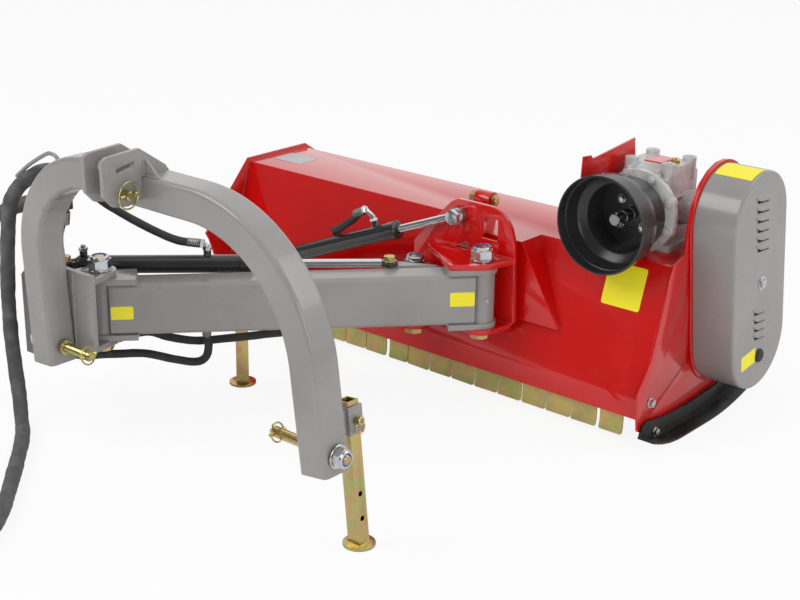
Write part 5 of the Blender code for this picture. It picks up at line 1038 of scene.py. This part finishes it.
# Side plates. Laser-cut plates close the hood's ends and carry the rotor's bearings, bolted on with
# plated screws whose heads show outside.
for side in ("left", "right"):
    softened(f"{side}_side_plate", f"{side}_side_cut", RED, "deck", 0.0010)
RIGHT_FACE, LEFT_FACE, BEARING_R = 0.5915, -0.7435, 0.056
ROTOR = Vector((0, 1.145, 0.200))
shape = bmesh.new()
for y, z in ((0.866, 0.101), (1.275, 0.215)):
    bolted(shape, (RIGHT_FACE, y, z), RIGHT, 0.0125, 0.0020, 0.0170, 0.0085)
for y, z in ((0.860, 0.110), (0.930, 0.330), (1.120, 0.330), (1.230, 0.200)):
    bolted(shape, (LEFT_FACE, y, z), -RIGHT, 0.0125, 0.0020, 0.0170, 0.0085)
for i in range(4):
    turn = pi / 4 + i * pi / 2
    place = (LEFT_FACE, ROTOR.y + BEARING_R * cos(turn), ROTOR.z + BEARING_R * sin(turn))
    bolted(shape, place, -RIGHT, 0.0110, 0.0018, 0.0160, 0.0080)
finished("side_plate_screws", shape, BRIGHT_ZINC, "deck")


# Belt guard. A pressed grey cover over the two pulleys, round at both ends, with slanted cooling louvers,
# a screw in the middle, an inspection plug and plain labels. A red rim plate stands behind it.
DRIVE = Vector((0, 1.100, 0.490))
GUARD_X, GUARD_EDGE_X = 0.700, 0.5975
GUARD_R, GUARD_INNER_R, GUARD_ROUND = 0.1180, 0.1150, 0.005
softened("guard_back_plate", "guard_rim", RED, "deck", 0.0010)


def pill(radius, x):
    """The band round both pulleys at a radius, in the plane of one X."""
    line = ROTOR - DRIVE
    base = atan2(line.z, line.y)
    outline = []
    for centre, start in ((ROTOR, base - pi / 2), (DRIVE, base + pi / 2)):
        for i in range(41):
            turn = start + pi * i / 40
            outline.append(Vector((x, centre.y + radius * cos(turn), centre.z + radius * sin(turn))))
    return outline


shape = bmesh.new()
rings = [pill(GUARD_INNER_R, 0.6950), pill(GUARD_INNER_R, GUARD_EDGE_X), pill(GUARD_R, GUARD_EDGE_X),
         pill(GUARD_R, GUARD_X - GUARD_ROUND - 0.001)]
for i in range(9):
    turn = pi / 2 * i / 8
    rings.append(pill(GUARD_R - GUARD_ROUND * (1 - cos(turn)),
                      GUARD_X - GUARD_ROUND + GUARD_ROUND * sin(turn)))
skin(shape, rings + [pill(GUARD_R - GUARD_ROUND - 0.002, GUARD_X)])
finished("belt_guard_shell", shape, GREY, "deck", ["belt_guard"], angle=50.0)


def row_tree():
    """Copies of a shape, each a step further on."""
    tree, given = tree_of("row", [("Count", "Int", 4), ("Step", "Vector", (0, 0, -0.02))])
    places = node(tree, "GeometryNodeMeshLine", {"Count": given["Count"], "Offset": given["Step"]})
    return laid_out(tree, given, places.outputs[0], given["Geometry"])


ROW = row_tree()
# Painted shadow: the louvers' shade is a near-black sheet laid on the guard's face under each lip.
LOUVER_SHADOW_BLACK = surfaced("painted shadow under the louvers", "black_rubber", enamel, {
    "Colour": (0.006, 0.006, 0.006, 1), "Shade": (0.010, 0.010, 0.010, 1), "Gloss": 0.8, "Dust": 0.2},
    (0.1, 0.0003))
LOUVER_WIDE, LOUVER_HIGH, SHADOW_DEEP = 0.0150, 0.0058, 0.0062
lean_y, lean_z = Vector((0, 0.978, -0.060)), Vector((0, 0.198, -0.980))


def louver(start, long):
    """One pressed louver from its upper left end: a lip raised along its lower edge."""
    mesh = bpy.data.meshes.new("louver")
    points, faces = [], []
    columns, rows = 20, 6
    for i in range(columns + 1):
        u = i / columns
        swell = max(0.0, 1.0 - abs(2 * u - 1) ** 3.0) ** 0.6
        for j in range(rows + 1):
            v = j / rows
            lift = LOUVER_HIGH * swell * sin(v * pi / 2) ** 1.3 - 0.0004
            drop = lean_z * LOUVER_WIDE * (v * (0.30 + 0.70 * swell))
            points.append(start + lean_y * long * u + drop + RIGHT * lift)
        points.append(points[-1] - RIGHT * (LOUVER_HIGH * swell + 0.0004))
    count = rows + 2
    for i in range(columns):
        for j in range(count - 1):
            a = i * count + j
            faces.append((a, a + count, a + count + 1, a + 1))
    mesh.from_pydata(points, [], faces)
    mesh.shade_smooth()
    mesh.set_sharp_from_angle(angle=radians(50))
    return mesh


def louver_shadow(start, long):
    """A painted shadow under a louver's lip: a near-black strip on the guard's face below it, and a dark
    sheet in its opening.
    """
    mesh = bpy.data.meshes.new("louver_shadow")
    first = start + lean_y * long * 0.10 + lean_z * LOUVER_WIDE * 0.97
    points = [first, first + lean_y * long * 0.80, first + lean_y * long * 0.78 + lean_z * SHADOW_DEEP,
              first + lean_y * long * 0.02 + lean_z * SHADOW_DEEP]
    points = [p + RIGHT * 0.0002 for p in points] + [p + RIGHT * (LOUVER_HIGH * 0.45) for p in points[:2]]
    mesh.from_pydata(points, [], [(0, 3, 2, 1), (0, 1, 5, 4)])
    return mesh


for group, start, long, count, pitch in (
        ("upper", Vector((GUARD_X, 1.0600, 0.5600)), 0.0680, 6, 0.0238),
        ("lower", Vector((GUARD_X, 1.0990, 0.2880)), 0.0620, 4, 0.0215)):
    for name, maker, finish in (("louvers", louver, GREY), ("painted_shadows", louver_shadow, LOUVER_SHADOW_BLACK)):
        grown(f"{group}_{name}", maker(start, long), ROW, finish, "deck", Count=count,
              Step=(lean_z * pitch)[:])

shape = bmesh.new()
bolted(shape, (GUARD_X + 0.0002, 1.1313, 0.3417), RIGHT, 0.0165, 0.0016, 0.0210, 0.0054)
finished("guard_screw", shape, BRIGHT_ZINC, "deck")
RUBBER = surfaced("moulded rubber", "black_rubber", enamel, {
    "Colour": (0.013, 0.013, 0.014, 1), "Shade": (0.024, 0.024, 0.025, 1), "Drift": 0.7,
    "Drift Scale": 18.0, "Peel Scale": 500.0, "Dust": 0.14, "Gloss": 0.55, "Gloss Drift": 0.2},
    (0.25, 0.0003))
shape = bmesh.new()
plug = [(0, 0), (0, 0.0140), (0.0010, 0.0160), (0.0035, 0.0160), (0.0060, 0.0135), (0.0070, 0.0090),
        (0.0062, 0.0060), (0.0062, 0)]
turned(shape, plug, (GUARD_X + 0.0002, 1.151, 0.160), RIGHT, 48)
finished("guard_plug_moulded", shape, RUBBER, "deck", ["guard_plug"])
label("guard_face_label", (GUARD_X, 1.0728, 0.1400), (0, 0.992, 0.123), (0, -0.123, 0.992), 0.0640, 0.0370,
      LABEL_YELLOW, "deck")
shape = bmesh.new()
rings = []
curve = [radians(88 + i * 2.9) for i in range(11)]
for lift in (0.0002, 0.0009):
    size = GUARD_R + lift
    rings.append([Vector((x, DRIVE.y + size * cos(a), DRIVE.z + size * sin(a)))
                  for x, order in ((0.603, curve), (0.693, curve[::-1])) for a in order])
skin(shape, rings)
finished("guard_top_label", shape, LABEL_YELLOW, "deck", angle=40.0)


# Gearbox. A grey iron casting bolted on the hood by its feet: round input flange with its ring of
# screws, four bosses on top, a small red cover plate and a brass breather.
CAST = surfaced("painted iron casting", "grey_casting", enamel, {
    "Colour": (0.60, 0.60, 0.59, 1), "Shade": (0.38, 0.38, 0.375, 1), "Drift": 0.8, "Drift Scale": 22.0,
    "Peel Scale": 260.0, "Dust": 0.10, "Gloss": 0.30, "Gloss Drift": 0.25}, (0.70, 0.0006),
    Coat_Weight=0.25, Coat_Roughness=0.12)
BRASS = surfaced("brass", "brass", plating, {
    "Colour": (0.55, 0.36, 0.12, 1), "Tint": (0.48, 0.30, 0.09, 1), "Other Tint": (0.50, 0.38, 0.18, 1),
    "Clouds": 0.5, "Gloss": 0.3, "Marks": 0.2}, (0.15, 0.0002), Metallic=1.0)
softened("gearbox_housing", "gearbox_casting", CAST, "deck", 0.0030, 3)
INPUT = Vector((0.448, 0, 0.490))


def ring_tree():
    """Copies of a shape turned about the Y axis."""
    tree, given = tree_of("ring", [("Count", "Int", 8)])
    places = node(tree, "GeometryNodeMeshLine", {"Count": given["Count"], "Offset": (0, 0, 0)})
    part = sums(tree, "DIVIDE", node(tree, "GeometryNodeInputIndex").outputs[0], given["Count"])
    angle = sums(tree, "MULTIPLY", part, 2 * pi)
    turn = node(tree, "FunctionNodeAxisAngleToRotation", {"Axis": (0, 1, 0), "Angle": angle})
    return laid_out(tree, given, places.outputs[0], given["Geometry"], Rotation=turn.outputs[0])


def ringed(name, shape, count, centre, finish, body):
    """A shape repeated round an axis along Y, its centre then set where it belongs."""
    bmesh.ops.recalc_face_normals(shape, faces=shape.faces)
    bmesh.ops.translate(shape, vec=-HITCH, verts=shape.verts)
    mesh = bpy.data.meshes.new(name)
    shape.to_mesh(mesh)
    shape.free()
    mesh.shade_smooth()
    mesh.set_sharp_from_angle(angle=radians(32))
    made = grown(name, mesh, RING, finish, body, Count=count)
    made.data.transform(Matrix.Translation(HITCH + centre))


RING = ring_tree()
shape = bmesh.new()
turn = radians(23)
spot = Vector((0.0860 * cos(turn), 0, 0.0860 * sin(turn)))
turned(shape, [(0, 0), (0, 0.0122), (0.0015, 0.0135), (0.016, 0.0140), (0.018, 0.0120), (0.018, 0)],
       spot - BACK * 0.0015, BACK, 28)
nut(shape, spot - BACK * 0.0014, -BACK, 0.0150, 0.0075, 24)
ringed("gearbox_flange_screws", shape, 8, INPUT + BACK * 0.9918, CAST, "deck")
shape = bmesh.new()
for x in (0.4120, 0.4840):
    block(shape, (x - 0.0025, 0.9950, 0.545), (x + 0.0025, 1.0150, 0.5880))
for z in (0.450, 0.520):
    block(shape, (0.5060, 1.0180, z), (0.5160, 1.1380, z + 0.0050))
finished("gearbox_ribs", shape, CAST, "deck", edge=0.0015, steps=3)
shape = bmesh.new()
for x in (0.400, 0.496):
    for y in (1.032, 1.122):
        nut(shape, (x, y, 0.6010), UP, 0.0160, 0.0015, 24)
finished("gearbox_boss_plugs", shape, CAST, "deck")
label("gearbox_cover_plate", (0.421, 1.048, 0.592), RIGHT, BACK, 0.046, 0.058, RED, "deck", 0.004, 0.0026)
shape = bmesh.new()
breather = [(-0.010, 0), (-0.010, 0.0074), (0.0003, 0.0074), (0.0003, 0.0090), (0.0015, 0.0090),
            (0.0015, 0.0100), (0.0080, 0.0100), (0.0095, 0.0085), (0.0115, 0.0075), (0.0122, 0.0050),
            (0.0122, 0)]
turned(shape, breather, (0.486, 1.077, 0.592), UP, 32)
finished("breather_turned", shape, BRASS, "deck", ["breather_plug"])


# Input shaft and shield. A splined steel shaft for the drive line from the tractor, inside a stepped
# black plastic shield that four plated screws hold to the gearbox.
shape = bmesh.new()
shaft = [(0.004, 0), (0.0, 0.0022), (0, 0.0120), (0.0012, 0.0132), (0.0070, 0.0132), (0.0085, 0.0122),
         (0.030, 0.0122), (0.031, 0.0112), (0.034, 0.0112), (0.035, 0.0138), (0.060, 0.0138),
         (0.062, 0.0165), (0.155, 0.0165), (0.155, 0)]
turned(shape, shaft, INPUT + BACK * 0.895, BACK, 48)
finished("input_shaft_turned", shape, STEEL, "input", ["input_shaft"])
shape = bmesh.new()
block(shape, (-0.0030, 0, 0.0120), (0.0030, 0.0200, 0.0158))
ringed("input_shaft_splines", shape, 6, INPUT + BACK * 0.9035, STEEL, "input")
SHIELD_PLASTIC = surfaced("moulded shield plastic", "black_rubber", enamel, {
    "Colour": (0.022, 0.022, 0.023, 1), "Shade": (0.036, 0.036, 0.037, 1), "Drift": 0.6, "Drift Scale": 9.0,
    "Peel Scale": 420.0, "Dust": 0.10, "Gloss": 0.26, "Gloss Drift": 0.12}, (0.14, 0.0003))
shape = bmesh.new()
big, small, wall = 0.112, 0.0835, 0.004
lip = [(0, big - wall), (0.0008, big), (0.004, big + 0.0006), (0.008, big), (0.040, big - 0.003),
       (0.0615, big - 0.0055), (0.0655, big - 0.0075), (0.072, small + 0.004), (0.0745, small + 0.0012),
       (0.080, small + 0.0005), (0.136, small), (0.138, small - 0.002), (0.138, 0.035), (0.134, 0.035),
       (0.134, small - wall), (0.074, small - wall + 0.001), (0.066, big - 0.013), (0.061, big - 0.0095),
       (0.030, big - wall - 0.0012), (0.029, big - wall - 0.0030), (0.026, big - wall - 0.0030),
       (0.025, big - wall - 0.0010)]
turned(shape, lip, INPUT + BACK * 0.836, BACK, 96)
# Painted shade: a ring of the dark shield plastic closes the shield's back round the shaft and covers the
# gearbox's grey nose, standing in for the shade deep inside the shield.
turned(shape, band(0.0030, 0.0340, 0.0185), INPUT + BACK * 0.9708, BACK, 56)
finished("shaft_shield_moulded", shape, SHIELD_PLASTIC, "deck", ["shaft_shield"], angle=38.0)
shape = bmesh.new()
screw = Vector((0.0290, 0, 0.0290))
washer(shape, screw, -BACK, 0.0115, 0.0016)
nut(shape, screw - BACK * 0.0016, -BACK, 0.0165, 0.0090, 24)
ringed("shield_screws", shape, 4, INPUT + BACK * 0.9698, BRIGHT_ZINC, "deck")
softened("gearbox_side_plate", "gearbox_side_cut", RED, "deck", 0.0010)


# Drive and rotor. Behind the guard two cast pulleys and their belt; under the hood the rotor with its
# hammer flails, in flange bearings.
for source, material in (("upper_pulley", CAST), ("lower_pulley", CAST), ("left_rotor_bearing", CAST),
                         ("right_rotor_bearing", CAST), ("drive_belt", RUBBER), ("output_shaft", STEEL)):
    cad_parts[source].material_slots[0].material = material
softened("flail_rotor", "rotor_and_flails", STEEL, "rotor", 0.0010)


# Skids and roller. Black runners curve up at both ends of the head, with a gusset inside the toe, and
# a plain roller behind sets the cutting height.
SKID_BLACK = surfaced("black enamel, scuffed", "black_paint", enamel, {
    "Colour": (0.0085, 0.0080, 0.0078, 1), "Shade": (0.022, 0.020, 0.019, 1), "Drift": 0.8,
    "Drift Scale": 26.0, "Peel Scale": 130.0, "Dust": 0.12, "Gloss": 0.30, "Gloss Drift": 0.22},
    (0.35, 0.0006), Specular_IOR_Level=0.30)
for side in ("left", "right"):
    softened(f"{side}_skid", f"{side}_runner", SKID_BLACK, "deck")
shape = bmesh.new()
drum = [(-0.7534, 0), (-0.7534, 0.0090), (-0.7524, 0.010), (-0.7175, 0.010), (-0.7170, 0.0440),
        (-0.7155, 0.0492), (-0.7130, 0.0500), (0.5610, 0.0500), (0.5635, 0.0492), (0.5650, 0.0440),
        (0.5655, 0.010), (0.6006, 0.010), (0.6016, 0.0090), (0.6016, 0)]
turned(shape, drum, (0, 1.285, 0.072), RIGHT, 72)
finished("roller_turned", shape, BLACK, "roller", ["rear_roller"])
shape = bmesh.new()
for y, z in ((0.886, 0.026), (1.200, 0.070)):
    for x, out in ((0.5979, RIGHT), (-0.7498, -RIGHT)):
        bolted(shape, (x, y, z), out, 0.0105, 0.0018, 0.0150, 0.0070)
finished("skid_screws", shape, BRIGHT_ZINC, "deck")


# Front flaps. Plated steel flaps hang side by side from two rods and keep stones in. Each rod carries
# nine, which lift together with it.
FLAP_ROD = Vector((0, 0.8435, 0.092))
FLAP_ZINC = surfaced("yellow zinc on the flaps", "yellow_zinc", plating, {
    "Colour": (0.62, 0.50, 0.17, 1), "Tint": (0.34, 0.45, 0.14, 1), "Other Tint": (0.70, 0.32, 0.22, 1),
    "Clouds": 0.85, "Cloud Scale": 13.0, "Gloss": 0.30, "Marks": 0.20}, (0.12, 0.0003), Metallic=0.55)
left, right = -0.727, 0.540
pitch = (right - left) / 18
slack = {8: 0.0075, 17: 0.0065}
half_t, tall = 0.0015, 0.078
bend = ((0.006, 0, 0), (0.045, 0, 0), (0.058, -0.0002, 0), (0.064, -0.0010, 0), (0.0735, -0.0030, 0),
        (0.0765, -0.0037, 0.0014), (tall, -0.0040, 0.0045))
for name, first, rod_left, rod_right in (("left", 0, -0.7370, -0.0945), ("right", 9, -0.0925, 0.5850)):
    shape = bmesh.new()
    rod(shape, FLAP_ROD + RIGHT * rod_left, FLAP_ROD + RIGHT * rod_right, 0.0050, 24)
    finished(f"{name}_flap_rod", shape, STEEL, f"{name}_flaps")
    shape = bmesh.new()
    for i in range(first, first + 9):
        a = left + pitch * i + 0.0010 + slack.get(i, 0.0) + 0.0008 * noise.noise((i * 3.1, 0, 0))
        b = left + pitch * (i + 1) - 0.0010 + 0.0008 * noise.noise((i * 3.1, 5.0, 0))
        hang = 0.03 * noise.noise((i * 1.7, 9.0, 0))
        skew = 0.0016 * noise.noise((i * 2.3, 14.0, 0))
        rings = []
        for depth, kick, narrow in bend:
            y, slant = kick + hang * depth * 0.5, skew * depth / tall
            corners = ((a + narrow, -half_t, -slant), (b - narrow, -half_t, slant),
                       (b - narrow, half_t, slant), (a + narrow, half_t, -slant))
            rings.append([FLAP_ROD + Vector((x, y + out, rise - depth)) for x, out, rise in corners])
        skin(shape, rings)
        turned(shape, band(b - a, 0.0085, 0.0055), FLAP_ROD + RIGHT * a, RIGHT, 24)
    finished(f"{name}_flaps_plated", shape, FLAP_ZINC, f"{name}_flaps", [f"{name}_front_flaps"], 0.0006, 2)
